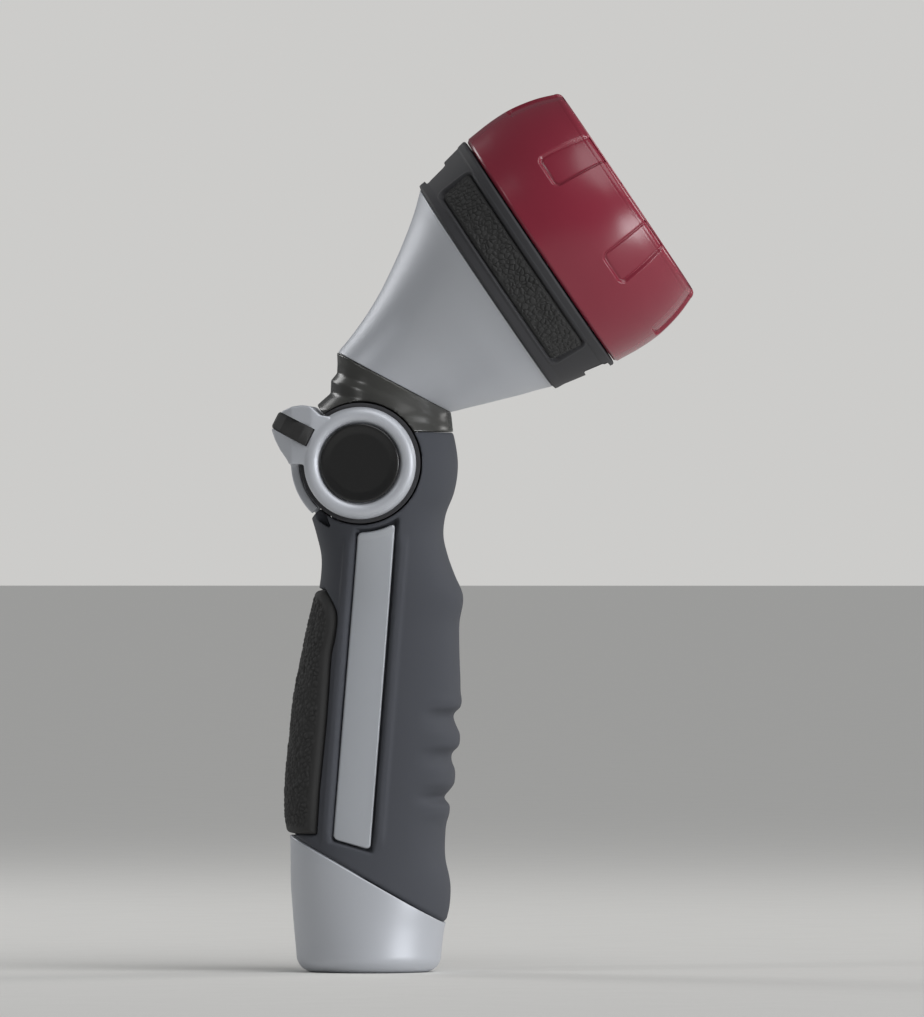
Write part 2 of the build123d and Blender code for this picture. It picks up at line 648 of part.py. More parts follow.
def make_manifold_screws():
    screws = []
    for x, y in MANIFOLD_SCREWS:
        screw = disc(2.6, PLATE_FACE - 2.38, PLATE_FACE - 0.3) + disc(1.28, PLATE_BACK - 6, PLATE_FACE - 1)
        screw -= Pos(0, 0, PLATE_FACE - 0.3) * (Box(3.2, 0.7, 1.6) + Box(0.7, 3.2, 1.6))
        screws.append(on_head(Pos(x, y, 0) * screw))
    return Compound(screws)


def make_port_seal():
    seal = tube(SEAL_POCKET_R - GAP, TROUGH_HALF, -3.4, DISC_BACK - GAP)
    return on_head(Pos(PATTERN_R, 0, 0) * seal)


def coil(radius, wire, low, high, turns):
    """A compression spring about Z."""
    low, high = low + wire, high - wire
    path = Helix(pitch=(high - low) / turns, height=high - low, radius=radius)
    start = Plane(origin=path @ 0, z_dir=path % 0)
    return Pos(0, 0, low) * sweep(start * Circle(wire), path=path, is_frenet=True)


def make_seal_spring():
    return on_head(Pos(PATTERN_R, 0, 0) * coil(4.1, 0.4, PLATE_BACK + 0.02, -3.42, 2.5))


def make_detent_ball():
    return on_head(Pos(-DETENT_R, 0, DISC_BACK - GAP - BALL_R) * Sphere(BALL_R))


def make_detent_spring():
    return on_head(Pos(-DETENT_R, 0, 0) * coil(1.45, 0.25, PLATE_FACE - 5, DISC_BACK - 2 * BALL_R - 0.1, 3))


def make_collar_ring():
    outer = [(CONE_RIM_R - COLLAR_WALL, -COLLAR_LENGTH), (CONE_RIM_R, -COLLAR_LENGTH),
             (CONE_RIM_R + 0.6, -COLLAR_LENGTH + 0.6), (DIAL_R - 0.5, -MOVE_GAP - 0.6),
             (DIAL_R - 1.0, -MOVE_GAP), (MANIFOLD_R + GAP, -MOVE_GAP),
             (MANIFOLD_R + GAP, PLATE_BACK - DISC_THICK - GAP),
             (CONE_RIM_R - COLLAR_WALL, PLATE_BACK - DISC_THICK - GAP)]
    ring = revolve(Plane.XZ * make_face(Polyline(*outer, close=True)), Axis.Z)
    ring -= collar_notch(1, *TOP_NOTCH)
    ring -= collar_notch(-1, *LOW_NOTCH)
    ring -= panel_band(0.0, 0.25, 2.0)
    return on_head(ring)


TOP_NOTCH = (-14.2, -7.8)
LOW_NOTCH = (-7.8, -1.6)
NOTCH_HALF_ANGLE = 14.0
PANEL_HALF_ANGLE = 54.0
PANEL_LOW, PANEL_HIGH = -12.5, -3.7
PANEL_DEEP = 1.2


def collar_notch(side, low, high):
    """A gap in the collar's rim, above or below."""
    deep = 2.4
    r_low = CONE_RIM_R - deep + 1.4 * (1 + low / COLLAR_LENGTH)
    ring = tube(DIAL_R + 5, r_low, low, high)
    half = sin(radians(NOTCH_HALF_ANGLE)) * DIAL_R
    return ring & Pos(side * DIAL_R, 0, 0) * Box(30, 2 * half, 60)


def panel_band(shrink, extra, proud):
    """The recess band on both sides of the collar, as a cone-shaped layer."""
    slope = (DIAL_R - 0.5 - CONE_RIM_R - 0.6) / (COLLAR_LENGTH - MOVE_GAP - 1.2)

    def face_r(z):
        return CONE_RIM_R + 0.6 + slope * (z + COLLAR_LENGTH - 0.6)

    low, high = PANEL_LOW - extra, PANEL_HIGH + extra
    inner, outer = shrink - PANEL_DEEP, proud - shrink
    profile = [(face_r(low) + inner, low), (face_r(low) + outer, low),
               (face_r(high) + outer, high), (face_r(high) + inner, high)]
    band = revolve(Plane.XZ * make_face(Polyline(*profile, close=True)), Axis.Z)
    a = radians(PANEL_HALF_ANGLE) + extra / DIAL_R
    far = 80.0
    keep = make_face(Polyline((0, 0), (far * cos(pi / 2 + a), far * sin(pi / 2 + a)), (0, 2 * far),
                              (far * cos(pi / 2 - a), far * sin(pi / 2 - a)), close=True))
    sides = Pos(0, 0, -40) * (extrude(keep, 60) + Rot(0, 0, HALF_TURN) * extrude(keep, 60))
    return band & sides


def make_collar_pads():
    band = on_head(panel_band(GAP, 0.0, 0.0))
    right = band & half_space((0, 0, 0), (0, -1, 0))
    left = band & half_space((0, 0, 0), (0, 1, 0))
    return right, left


# ---- dial -----------------------------------------------------------------------------------
def bezel_profile(inset=0.0):
    """The dial's outer line, from its back to its front edge, as (radius, axial)."""
    return [(DIAL_R - 0.5 - inset, 0.0), (DIAL_R - inset, 0.38 * DIAL_LENGTH),
            (DIAL_R - 1.8 - inset, 0.8 * DIAL_LENGTH), (DIAL_R - 3.1 - inset, DIAL_LENGTH - 1.6)]


def bezel_solid(inset=0.0):
    """The dial's outer form as a filled solid."""
    line = bezel_profile(inset)
    front = (line[-1][0] - 1.6, DIAL_LENGTH)
    edges = Spline(*line) + Line(line[-1], front) + Line(front, (0, DIAL_LENGTH)) \
        + Line((0, DIAL_LENGTH), (0, 0)) + Line((0, 0), line[0])
    return revolve(Plane.XZ * make_face(edges), Axis.Z)


def finger_recesses():
    """Shallow finger recesses in the dial, open at its front edge."""
    skin = bezel_solid() - bezel_solid(GRIP_DEEP)
    z0 = DIAL_LENGTH - 1.5 - GRIP_LONG
    key = Pos(0, z0 + 20) * RectangleRounded(GRIP_WIDE, 40, 1.7)
    prism = Plane(origin=(0, 0, 0), x_dir=(0, 1, 0), z_dir=(1, 0, 0)) * extrude(key, 60)
    step = 360 / PATTERNS
    return [Rot(0, 0, 90 + step * (i + 0.5)) * (skin & prism) for i in range(PATTERNS)]


def make_dial_bezel():
    body = bezel_solid()
    body -= disc(CORE_R + GAP, DISC_BACK - GAP, DIAL_LENGTH - 2.6)
    body -= disc(CORE_R - 1.2, -1, DISC_BACK)
    body -= disc(CORE_R - 0.6, DIAL_LENGTH - 3, DIAL_LENGTH + 1)
    return on_head(body - finger_recesses())


def pattern_spots():
    step = 360 / PATTERNS
    return [Rot(0, 0, step * i) * Pos(PATTERN_R, 0, 0) for i in range(PATTERNS)]


GASKET_LOW, GASKET_HIGH = 7.0, 8.4
FACE_FRONT = DIAL_LENGTH - 2.8
FACE_WALL = 2.6
HEAD_ROOM_R = 7.4


def make_pattern_disc():
    """Turning disc whose sockets pass the port seal one by one."""
    body = disc(CORE_R, DISC_BACK, GASKET_LOW)
    body -= disc(SCREW_R + BARREL_RUN, 0, 20)
    body -= [spot * disc(TROUGH_HALF, 0, 20) for spot in pattern_spots()]
    step = 360 / PATTERNS
    dimples = [Rot(0, 0, HALF_TURN + step * i) * Pos(DETENT_R, 0, DISC_BACK - 0.6) * Sphere(1.6)
               for i in range(PATTERNS)]
    return on_head(body - dimples)


def make_dial_gasket():
    body = tube(CORE_R - 0.4, HEAD_ROOM_R + 0.4, GASKET_LOW, GASKET_HIGH)
    return on_head(body - [spot * disc(TROUGH_HALF + 0.6, 0, 20) for spot in pattern_spots()])


def pattern_holes():
    """The seven sprays' openings, one list of cutters per spray."""
    through = 60.0
    jet = [Cylinder(2.2, through)]
    shower = [loc * Cylinder(0.55, through) for loc in HexLocations(1.1, 5, 5)]
    flat = [Box(1.3, 9.0, through)]
    cone = [Cylinder(3.4, through) - Cylinder(2.2, through) - Box(8, 0.9, through)]
    full = [loc * Cylinder(1.2, through) for loc in PolarLocations(3.2, 6)]
    mist = [loc * Cylinder(0.45, through) for loc in PolarLocations(2.4, 3)]
    soaker = [loc * Cylinder(1.0, through) for loc in GridLocations(3.0, 3.0, 3, 3)]
    return [jet, shower, flat, cone, full, mist, soaker]


def make_spray_face():
    body = disc(CORE_R, GASKET_HIGH, FACE_FRONT)
    body -= [spot * disc(CHAMBER_R, 0, FACE_FRONT - FACE_WALL) for spot in pattern_spots()]
    body -= disc(HEAD_ROOM_R, 0, 30)
    for spot, cutters in zip(pattern_spots(), pattern_holes()):
        rim = spot * tube(CHAMBER_R + 1.1, CHAMBER_R + 0.5, FACE_FRONT - 0.5, FACE_FRONT + 1)
        dish = spot * disc(CHAMBER_R - 0.6, FACE_FRONT - 0.7, FACE_FRONT + 1)
        body -= [rim, dish]
        body -= [spot * Pos(0, 0, FACE_FRONT) * cutter for cutter in cutters]
    return on_head(body)


def make_centre_screw():
    """Shoulder screw that the dial turns on."""
    body = disc(2.48, PLATE_BACK + 0.1, PLATE_FACE) + disc(SCREW_R, PLATE_FACE, GASKET_LOW + 1.0)
    body += disc(6.4, GASKET_LOW + 0.9, GASKET_LOW + 3.9)
    body -= Pos(0, 0, GASKET_LOW + 3.9) * (Box(7, 1.1, 3) + Box(1.1, 7, 3))
    return on_head(body)


def make_thrust_washer():
    return on_head(tube(6.8, SCREW_R + BARREL_RUN, GASKET_LOW + 0.02, GASKET_LOW + 0.8))


def make_centre_cap():
    cap = disc(HEAD_ROOM_R - GAP, FACE_FRONT - 3, FACE_FRONT + 0.6)
    cap = fillet(cap.edges().group_by(Axis.Z)[-1], 0.5)
    return on_head(cap - disc(HEAD_ROOM_R - 1.6, FACE_FRONT - 4, FACE_FRONT - 1.2))


def make_joint_seals():
    """O-rings where the tubes enter the valve housing."""
    wire = JOINT_GROOVE / 2 - GAP
    middle = HUB_HEIGHT - DRUM_R - 8 + (JOINT_GROOVE + 0.1) / 2
    low = Pos(TUBE_X, 0, middle) * Torus(TUBE_R - JOINT_GROOVE / 2, wire)
    ring = Torus(OUTLET_R + GAP + wire, wire)
    high = Pos(*HUB) * Rot(0, -OUTLET_ANGLE, 0) * Rot(0, 90, 0) * Pos(0, 0, OUTLET_GROOVE_AT) * ring
    return Compound([low, high])


# ---- all pieces -----------------------------------------------------------------------------
def make_all():
    right_inlay, left_inlay = make_inlays()
    right_frame, left_frame = make_frames()
    right_cap, left_cap = make_hub_caps()
    right_pad, left_pad = make_collar_pads()
    return {
        "thread_insert": make_thread_insert(),
        "hose_washer": make_hose_washer(),
        "inlet_screen": make_inlet_screen(),
        "water_tube": make_water_tube(),
        "base_ferrule": make_base_ferrule(),
        "grip_sleeve": make_grip_sleeve(),
        "rear_grip_pad": make_rear_grip_pad(),
        "inlay_right": right_inlay,
        "inlay_left": left_inlay,
        "frame_right": right_frame,
        "frame_left": left_frame,
        "valve_housing": make_valve_housing(),
        "valve_bushes": make_valve_bushes(),
        "valve_seats": make_valve_seats(),
        "joint_seals": make_joint_seals(),
        "valve_barrel": make_valve_barrel(),
        "barrel_seals": make_barrel_seals(),
        "lever_screws": make_lever_screws(),
        "thumb_lever": make_thumb_lever(),
        "lever_pad": make_lever_pad(),
        "hub_cap_right": right_cap,
        "hub_cap_left": left_cap,
        "neck_cover": make_neck_cover(),
        "cone_shroud": make_cone_shroud(),
        "outlet_tube": make_outlet_tube(),
        "head_manifold": make_head_manifold(),
        "manifold_plate": make_manifold_plate(),
        "manifold_screws": make_manifold_screws(),
        "port_seal": make_port_seal(),
        "seal_spring": make_seal_spring(),
        "detent_ball": make_detent_ball(),
        "detent_spring": make_detent_spring(),
        "collar_ring": make_collar_ring(),
        "collar_pad_right": right_pad,
        "collar_pad_left": left_pad,
        "dial_bezel": make_dial_bezel(),
        "pattern_disc": make_pattern_disc(),
        "dial_gasket": make_dial_gasket(),
        "spray_face": make_spray_face(),
        "centre_screw": make_centre_screw(),
        "thrust_washer": make_thrust_washer(),
        "centre_cap": make_centre_cap(),
    }


os.makedirs("parts", exist_ok=True)
for node, shape in make_all().items():
    export_step(shape, f"parts/{node}.step")
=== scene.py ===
"""Looks of the hose spray nozzle: its visible pieces, finishes and stage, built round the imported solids."""
import json
import math

import bpy
import numpy as np
from bpy.props import FloatProperty, FloatVectorProperty, PointerProperty
from bpy.types import Operator, Panel, PropertyGroup
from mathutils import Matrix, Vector, noise


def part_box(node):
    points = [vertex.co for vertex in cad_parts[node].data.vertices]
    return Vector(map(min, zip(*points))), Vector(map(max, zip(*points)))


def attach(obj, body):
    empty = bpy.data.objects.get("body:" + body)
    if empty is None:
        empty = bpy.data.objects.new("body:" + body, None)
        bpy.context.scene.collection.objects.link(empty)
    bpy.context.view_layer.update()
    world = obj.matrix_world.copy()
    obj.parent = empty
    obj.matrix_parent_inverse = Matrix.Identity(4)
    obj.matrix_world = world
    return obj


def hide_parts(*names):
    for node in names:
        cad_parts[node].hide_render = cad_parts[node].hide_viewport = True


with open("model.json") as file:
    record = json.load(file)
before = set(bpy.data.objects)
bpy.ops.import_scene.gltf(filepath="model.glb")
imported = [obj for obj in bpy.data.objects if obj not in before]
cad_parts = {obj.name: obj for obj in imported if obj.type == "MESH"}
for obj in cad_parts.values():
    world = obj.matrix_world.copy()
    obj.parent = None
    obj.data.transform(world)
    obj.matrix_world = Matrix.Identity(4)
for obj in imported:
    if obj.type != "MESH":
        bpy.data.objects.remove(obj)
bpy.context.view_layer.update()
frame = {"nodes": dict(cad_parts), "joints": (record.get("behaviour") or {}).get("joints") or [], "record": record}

bl_info = {
    "name": "Hose Nozzle Looks",
    "version": (1, 0, 0),
    "blender": (4, 5, 0),
    "location": "3D View > Sidebar > Nozzle",
    "description": "Builds the nozzle's visible pieces, finishes and stage",
    "category": "Object",
}

MM = 0.001
TURN = 2 * math.pi


# ---- places taken from the frame, in millimetres -----------------------------------------------
def joint(name):
    return next(j for j in frame["joints"] if j["name"] == name)


HUB = np.array(joint("lever_turn")["pos_m"]) / MM
DIAL_BACK = np.array(joint("dial_turn")["pos_m"]) / MM
ALONG = np.array(joint("dial_turn")["axis"])
ACROSS = np.array([-ALONG[2], 0.0, ALONG[0]])
SIDE = np.array([0.0, -1.0, 0.0])
SLOT_OF = {row["node"]: row["material_slot"] for row in frame["record"]["subparts"]}


def node_box(node):
    low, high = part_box(node)
    return np.array(low) / MM, np.array(high) / MM


RING_FACE = node_box("thumb_lever")[1][1]
CAP_FACE = node_box("hub_cap_left")[1][1]
CAP_BACK = node_box("hub_cap_left")[0][1]
DRUM_HALF = node_box("valve_housing")[1][1]
INSERT_LOW, INSERT_HIGH = node_box("thread_insert")[0][2], node_box("thread_insert")[1][2]

# the handle's outline: height, rear, front, half width, squareness of the section
GRIP_TABLE = np.array([
    (0, -17.9, 17.9, 17.9, 2.0), (5, -18.2, 18.1, 17.9, 2.0), (10.5, -18.7, 18.8, 17.8, 2.05),
    (17, -19.2, 20.2, 17.7, 2.15), (21, -19.5, 20.4, 17.6, 2.2), (28, -19.6, 19.4, 17.3, 2.35),
    (34, -19.7, 19.6, 17.2, 2.4), (41, -20.3, 20.4, 17.0, 2.5), (50, -20.0, 21.4, 17.0, 2.5),
    (60, -19.0, 22.4, 17.0, 2.5), (70, -17.9, 22.9, 16.8, 2.5), (80, -15.9, 22.6, 16.5, 2.5),
    (87, -14.5, 22.6, 16.3, 2.45), (94.5, -12.7, 23.4, 16.1, 2.4), (99, -12.0, 21.5, 16.1, 2.4),
    (104, -11.9, 19.7, 16.2, 2.4), (109, -13.0, 18.6, 16.6, 2.45), (114, -14.5, 19.1, 17.1, 2.5),
    (120, -17.0, 21.3, 17.8, 2.55), (127, -17.5, 22.2, 18.1, 2.6), (132, -17.0, 21.6, 17.7, 2.6),
    (136, -16.0, 20.7, 17.0, 2.5)])
PARTING = ((-20.3, 34.7), (19.3, 12.4))
GRIP_TOP = HUB[2] + 7.7
# height and how far the finger grip's front stands out there
FINGER_LINE = np.array([
    (25, 0), (30, -0.4), (34, -0.55), (37.1, -0.55), (40.0, -0.15), (41.6, -0.35), (43.6, -1.9),
    (45.4, -0.75), (46.8, 0.1), (48.8, 0.25), (50.8, -0.1), (52.5, -0.95), (54.8, -1.05), (56.4, 0.3),
    (58.0, 0.5), (59.8, 0.2), (61.4, -0.65), (64.9, -1.2), (66.0, -0.05), (67.3, 0.3), (70.0, 0.0), (74, 0)])

# the rear pad's inner boundary: height and X
PAD_EDGE = np.array([
    (34.5, -12.8), (46, -12.0), (53, -11.3), (63, -10.3), (78, -9.3), (91.0, -8.3), (95.6, -10.9)])

# the side inlay: centre line, half width and ends
INLAY_HALF = 4.75
INLAY_FOOT = (-3.75, 32.0)
INLAY_LEAN = 0.0795
INLAY_END_R = 17.1

# rear end, front end and half width of the neck's sections, from the hub
NECK_TABLE = [
    ((-11.9, -6.1), (23.1, -6.1), 17.4), ((-12.4, 6.9), (22.9, 6.4), 17.0),
    ((-12.3, 13.7), (22.5, 8.9), 16.0), ((-9.4, 16.3), (22.4, 10.1), 15.3),
    ((-8.0, 17.5), (22.3, 10.7), 14.9), ((-7.9, 20.7), (22.3, 11.3), 14.4),
    ((-6.4, 22.5), (22.2, 11.7), 14.0), ((-6.3, 24.9), (22.1, 12.2), 13.7),
    ((-6.4, 27.8), (22.1, 12.8), 13.5)]

# upper and lower ends of the cone's sections as (axial, radial) from the dial's back, and half width
CONE_TABLE = [
    ((-56.1, 7.4), (-41.0, -20.8), 13.4), ((-52.0, 8.6), (-38.8, -21.6), 14.2),
    ((-46.4, 10.6), (-36.0, -22.6), 15.6), ((-40.5, 13.2), (-32.8, -23.8), 17.4),
    ((-33.5, 17.1), (-28.6, -25.3), 20.3), ((-26.6, 21.5), (-24.2, -26.9), 23.6),
    ((-20.2, 26.2), (-19.6, -28.4), 27.0), ((-16.3, 29.6), (-16.3, -29.6), 29.6)]

# walls of the hollow pieces, and how deep the pads' backs and edges lie
SLEEVE_WALL = 3.0
NECK_WALL = 2.3
CONE_WALL = 2.0
PAD_DEPTH = 1.12
FIT = 0.15

# the hole round the hub, and the angles and reach of the thumb lever's sweep beside it
HUB_MIDDLE = (HUB[0], 0.0, HUB[2])
HUB_HOLE_R = 15.35
SWEEP_START, SWEEP_END = 128.0, 227.5
SWEEP_REACH = 26.5
CUT_REACH = 40

# the collar's side panels: half their angle, the radius it is measured at, their place and half width
COLLAR_PANEL = math.radians(54)
PANEL_R = 31.6
PANEL_MIDDLE, PANEL_HALF = -8.1, 4.7

# the dial's finger recesses: how many, the radius of their widths, half width and corner
FINGER_RECESSES = 7
RECESS_R = 32.0
RECESS_HALF = 4.65
RECESS_CORNER = 1.7

# the thumb lever: its rib's angle, reach and thickness, and the drum that it turns on
LEVER_ANGLE = 153.0
LEVER_TIP = 24.2
RIB_THICK = 4.6
RIB_ROOT = 13.8
DRUM_R = 15.3
RING_BORE_R = 12.4
CAP_R = 9.86


# ---- small tools -------------------------------------------------------------------------------
def smooth_table(table, at):
    """Rows of (position, values...) read at many positions by a smooth curve through the rows."""
    xs, ys = table[:, 0], table[:, 1:]
    slopes = np.gradient(ys, xs, axis=0)
    at = np.clip(np.asarray(at, float), xs[0], xs[-1])
    i = np.clip(np.searchsorted(xs, at) - 1, 0, len(xs) - 2)
    h = (xs[i + 1] - xs[i])[..., None]
    t = ((at - xs[i])[..., None]) / h
    a, b = ys[i], ys[i + 1]
    return ((2 * t ** 3 - 3 * t ** 2 + 1) * a + (t ** 3 - 2 * t ** 2 + t) * h * slopes[i]
            + (3 * t ** 2 - 2 * t ** 3) * b + (t ** 3 - t ** 2) * h * slopes[i + 1])


def ease(low, high, x):
    """0 below low, 1 above high and a smooth rise between them."""
    t = np.clip((x - low) / (high - low), 0, 1)
    return t * t * (3 - 2 * t)


def edge_roll(inside, radius):
    """How far a quarter-round edge falls away, from the distance inside that edge."""
    return radius * (1 - np.sqrt(1 - (1 - np.clip(inside / radius, 0, 1)) ** 2))


def mesh_object(name, verts, faces):
    """An object from points in millimetres, smooth and facing outwards."""
    mesh = bpy.data.meshes.new(name)
    mesh.from_pydata((np.asarray(verts) * MM).tolist(), [], faces)
    mesh.validate()
    mesh.calc_loop_triangles()
    co = np.array([v.co for v in mesh.vertices])
    tri = np.array([t.vertices for t in mesh.loop_triangles])
    volume = np.einsum("ij,ij->i", co[tri[:, 0]], np.cross(co[tri[:, 1]], co[tri[:, 2]])).sum()
    if volume < 0:
        mesh.flip_normals()
    mesh.shade_smooth()
    piece = bpy.data.objects.new(name, mesh)
    bpy.context.scene.collection.objects.link(piece)
    return piece


def grid_faces(rows, cols, close_rows, close_cols, first=0):
    r, c = np.meshgrid(np.arange(rows - (not close_rows)), np.arange(cols - (not close_cols)), indexing="ij")
    r2, c2 = (r + 1) % rows, (c + 1) % cols
    faces = np.stack([r * cols + c, r * cols + c2, r2 * cols + c2, r2 * cols + c], -1).reshape(-1, 4)
    return (faces + first).tolist()


def ring_solid(name, points):
    """A closed skin from a closed loop of closed rings."""
    rows, cols = points.shape[:2]
    return mesh_object(name, points.reshape(-1, 3), grid_faces(rows, cols, True, True))


def capped_solid(name, points):
    """A closed skin from a run of rings with a flat cap at each end."""
    rows, cols = points.shape[:2]
    faces = grid_faces(rows, cols, False, True)
    faces.append(list(range(cols))[::-1])
    faces.append(list(range((rows - 1) * cols, rows * cols)))
    return mesh_object(name, points.reshape(-1, 3), faces)


def plate_solid(name, front, back):
    """A closed thin piece from its front and back grids."""
    rows, cols = front.shape[:2]
    n = rows * cols
    faces = grid_faces(rows, cols, False, False)
    faces += [f[::-1] for f in grid_faces(rows, cols, False, False, n)]
    edge = ([(0, c) for c in range(cols)] + [(r, cols - 1) for r in range(1, rows)]
            + [(rows - 1, c) for c in range(cols - 2, -1, -1)] + [(r, 0) for r in range(rows - 2, 0, -1)])
    ids = [r * cols + c for r, c in edge]
    for a, b in zip(ids, ids[1:] + ids[:1]):
        faces.append([b, a, a + n, b + n])
    return mesh_object(name, np.concatenate([front.reshape(-1, 3), back.reshape(-1, 3)]), faces)


def prism(name, outline, low, high, origin=(0.0, 0.0, 0.0), plan=False):
    """An outline extruded along Y from an XZ outline, or along Z from a plan."""
    n = len(outline)
    verts = []
    for level in (low, high):
        for a, b in outline:
            verts.append((a, b, level) if plan else (a, level, b))
    verts = np.array(verts) + np.array(origin)
    faces = [list(range(n)), list(range(2 * n - 1, n - 1, -1))]
    faces += [[i, i + n, (i + 1) % n + n, (i + 1) % n] for i in range(n)]
    return mesh_object(name, verts, faces)


def arc(radius, start, end, steps):
    return [(radius * math.cos(math.radians(start + (end - start) * i / steps)),
             radius * math.sin(math.radians(start + (end - start) * i / steps))) for i in range(steps + 1)]


def settle(piece):
    """The piece's modifiers become its mesh."""
    bpy.context.view_layer.update()
    graph = bpy.context.evaluated_depsgraph_get()
    mesh = bpy.data.meshes.new_from_object(piece.evaluated_get(graph))
    piece.modifiers.clear()
    piece.data = mesh
    mesh.shade_smooth()


def boolean(piece, other, operation="DIFFERENCE"):
    cutter = piece.modifiers.new("Cut", "BOOLEAN")
    cutter.object = other
    cutter.operation = operation
    cutter.solver = "EXACT"
    settle(piece)
    bpy.data.objects.remove(other)
    if not len(piece.data.polygons):
        raise RuntimeError(piece.name + ": the cut left nothing")


def join(pieces):
    """Several pieces in one object, for a remesh to make one skin of."""
    verts, faces, first = [], [], 0
    for piece in pieces:
        verts += [tuple(v.co / MM) for v in piece.data.vertices]
        faces += [[i + first for i in p.vertices] for p in piece.data.polygons]
        first = len(verts)
    name = pieces[0].name
    for piece in pieces:
        bpy.data.objects.remove(piece)
    return mesh_object(name, verts, faces)


def remesh(piece, voxel, rounds, factor=0.5):
    """One even skin with softened edges."""
    skin = piece.modifiers.new("Skin", "REMESH")
    skin.mode = "VOXEL"
    skin.voxel_size = voxel * MM
    skin.use_smooth_shade = True
    soft = piece.modifiers.new("Soften", "SMOOTH")
    soft.iterations = rounds
    soft.factor = factor
    settle(piece)


def pebbles(points, size, height):
    """Heights of a pebbled skin: rounded cells with narrow valleys between them."""
    flat = points.reshape(-1, 3) / size
    out = np.empty(len(flat))
    for i, p in enumerate(flat):
        near = noise.voronoi(Vector(p))[0]
        out[i] = near[1] - near[0]
    cells = np.clip(out / 0.42, 0, 1)
    lumps = np.array([noise.noise(Vector(p) * 0.45) for p in flat])
    return (height * (1 - (1 - cells) ** 2) * (0.8 + 0.35 * lumps)).reshape(points.shape[:2])


def on_head(axial, radius, angle):
    """Points from the dial's back: along the spray axis, out from it and round it."""
    axial, radius, angle = np.broadcast_arrays(axial, radius, angle)
    return (DIAL_BACK + axial[..., None] * ALONG + (radius * np.cos(angle))[..., None] * ACROSS
            + (radius * np.sin(angle))[..., None] * SIDE)


def subdivide_line(points, step):
    """Points along a polyline, no further apart than step."""
    out = []
    for (a, b), (c, d) in zip(points, points[1:]):
        n = max(1, int(math.ceil(math.hypot(c - a, d - b) / step)))
        out += [(a + (c - a) * i / n, b + (d - b) * i / n) for i in range(n)]
    return out + [points[-1]]


def rounded_corner(x, y, radius, start, end, steps=6):
    return [(x + p, y + q) for p, q in arc(radius, start, end, steps)]


def dress(piece, body, slot, replaces=()):
    """The piece gets its finish, rides on its body and stands for its solids."""
    piece.data.materials.clear()
    piece.data.materials.append(bpy.data.materials[slot])
    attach(piece, body)
    if replaces:
        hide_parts(*replaces)
    return piece


# ---- shader tools ------------------------------------------------------------------------------
def feed(tree, node, ins):
    """The node with its inputs set; a socket given as a value is linked."""
    for key, value in ins.items():
        if isinstance(value, bpy.types.NodeSocket):
            tree.links.new(value, node.inputs[key])
        else:
            node.inputs[key].default_value = value
    return node


def add(tree, kind, props=None, ins=None):
    """A shader node with its settings and inputs."""
    node = tree.nodes.new("ShaderNode" + kind)
    for key, value in (props or {}).items():
        setattr(node, key, value)
    return feed(tree, node, ins or {})


def use_group(tree, name, ins):
    node = tree.nodes.new("ShaderNodeGroup")
    node.node_tree = bpy.data.node_groups[name]
    return feed(tree, node, ins)


def math_node(tree, operation, a, b=0.0, clamp=False):
    return add(tree, "Math", {"operation": operation, "use_clamp": clamp}, {0: a, 1: b}).outputs[0]


def mix_colour(tree, factor, a, b, mode="MIX"):
    return add(tree, "Mix", {"data_type": "RGBA", "blend_type": mode}, {0: factor, 6: a, 7: b}).outputs[2]


def noise_field(tree, where, detail):
    return add(tree, "TexNoise", None, {"Vector": where, "Scale": 1.0, "Detail": detail}).outputs[0]


def spread(tree, value, low, high, first=0.0, last=1.0):
    """The span of a value from low to high, stretched to run from first to last and held beyond."""
    return add(tree, "MapRange", None, {0: value, 1: low, 2: high, 3: first, 4: last}).outputs[0]


def new_group(name, inputs, outputs):
    """An empty node group with named sockets: (name, kind, default)."""
    group = bpy.data.node_groups.new(name, "ShaderNodeTree")
    for label, kind, default in inputs:
        socket = group.interface.new_socket(label, in_out="INPUT", socket_type="NodeSocket" + kind)
        socket.default_value = default
    for label, kind in outputs:
        group.interface.new_socket(label, in_out="OUTPUT", socket_type="NodeSocket" + kind)
    return group, group.nodes.new("NodeGroupInput"), group.nodes.new("NodeGroupOutput")


def place_coordinates(tree, scale):
    """Position on the object, times a scale."""
    where = add(tree, "TexCoord").outputs["Object"]
    return add(tree, "VectorMath", {"operation": "SCALE"}, {0: where, 3: scale}).outputs[0]


def make_grain_group():
    """Fine moulded grain: a colour that drifts a little, a roughness that varies and a bump height."""
    group, given, out = new_group("Moulded grain", [
        ("Colour", "Color", (0.1, 0.1, 0.1, 1)), ("Second colour", "Color", (0.2, 0.2, 0.2, 1)),
        ("Grain per metre", "Float", 2500.0), ("Rough low", "Float", 0.4), ("Rough high", "Float", 0.6)],
        [("Colour", "Color"), ("Roughness", "Float"), ("Height", "Float")])
    coarse = noise_field(group, place_coordinates(group, 60.0), 4.0)
    fine = noise_field(group, place_coordinates(group, given.outputs[2]), 3.0)
    drift = spread(group, coarse, 0.3, 0.7)
    speck = math_node(group, "MULTIPLY", fine, 0.5)
    share = math_node(group, "ADD", math_node(group, "MULTIPLY", drift, 0.7), speck, True)
    colour = mix_colour(group, share, given.outputs[0], given.outputs[1])
    rough = spread(group, share, 0.0, 1.0, given.outputs[3], given.outputs[4])
    feed(group, out, {0: colour, 1: rough, 2: fine})


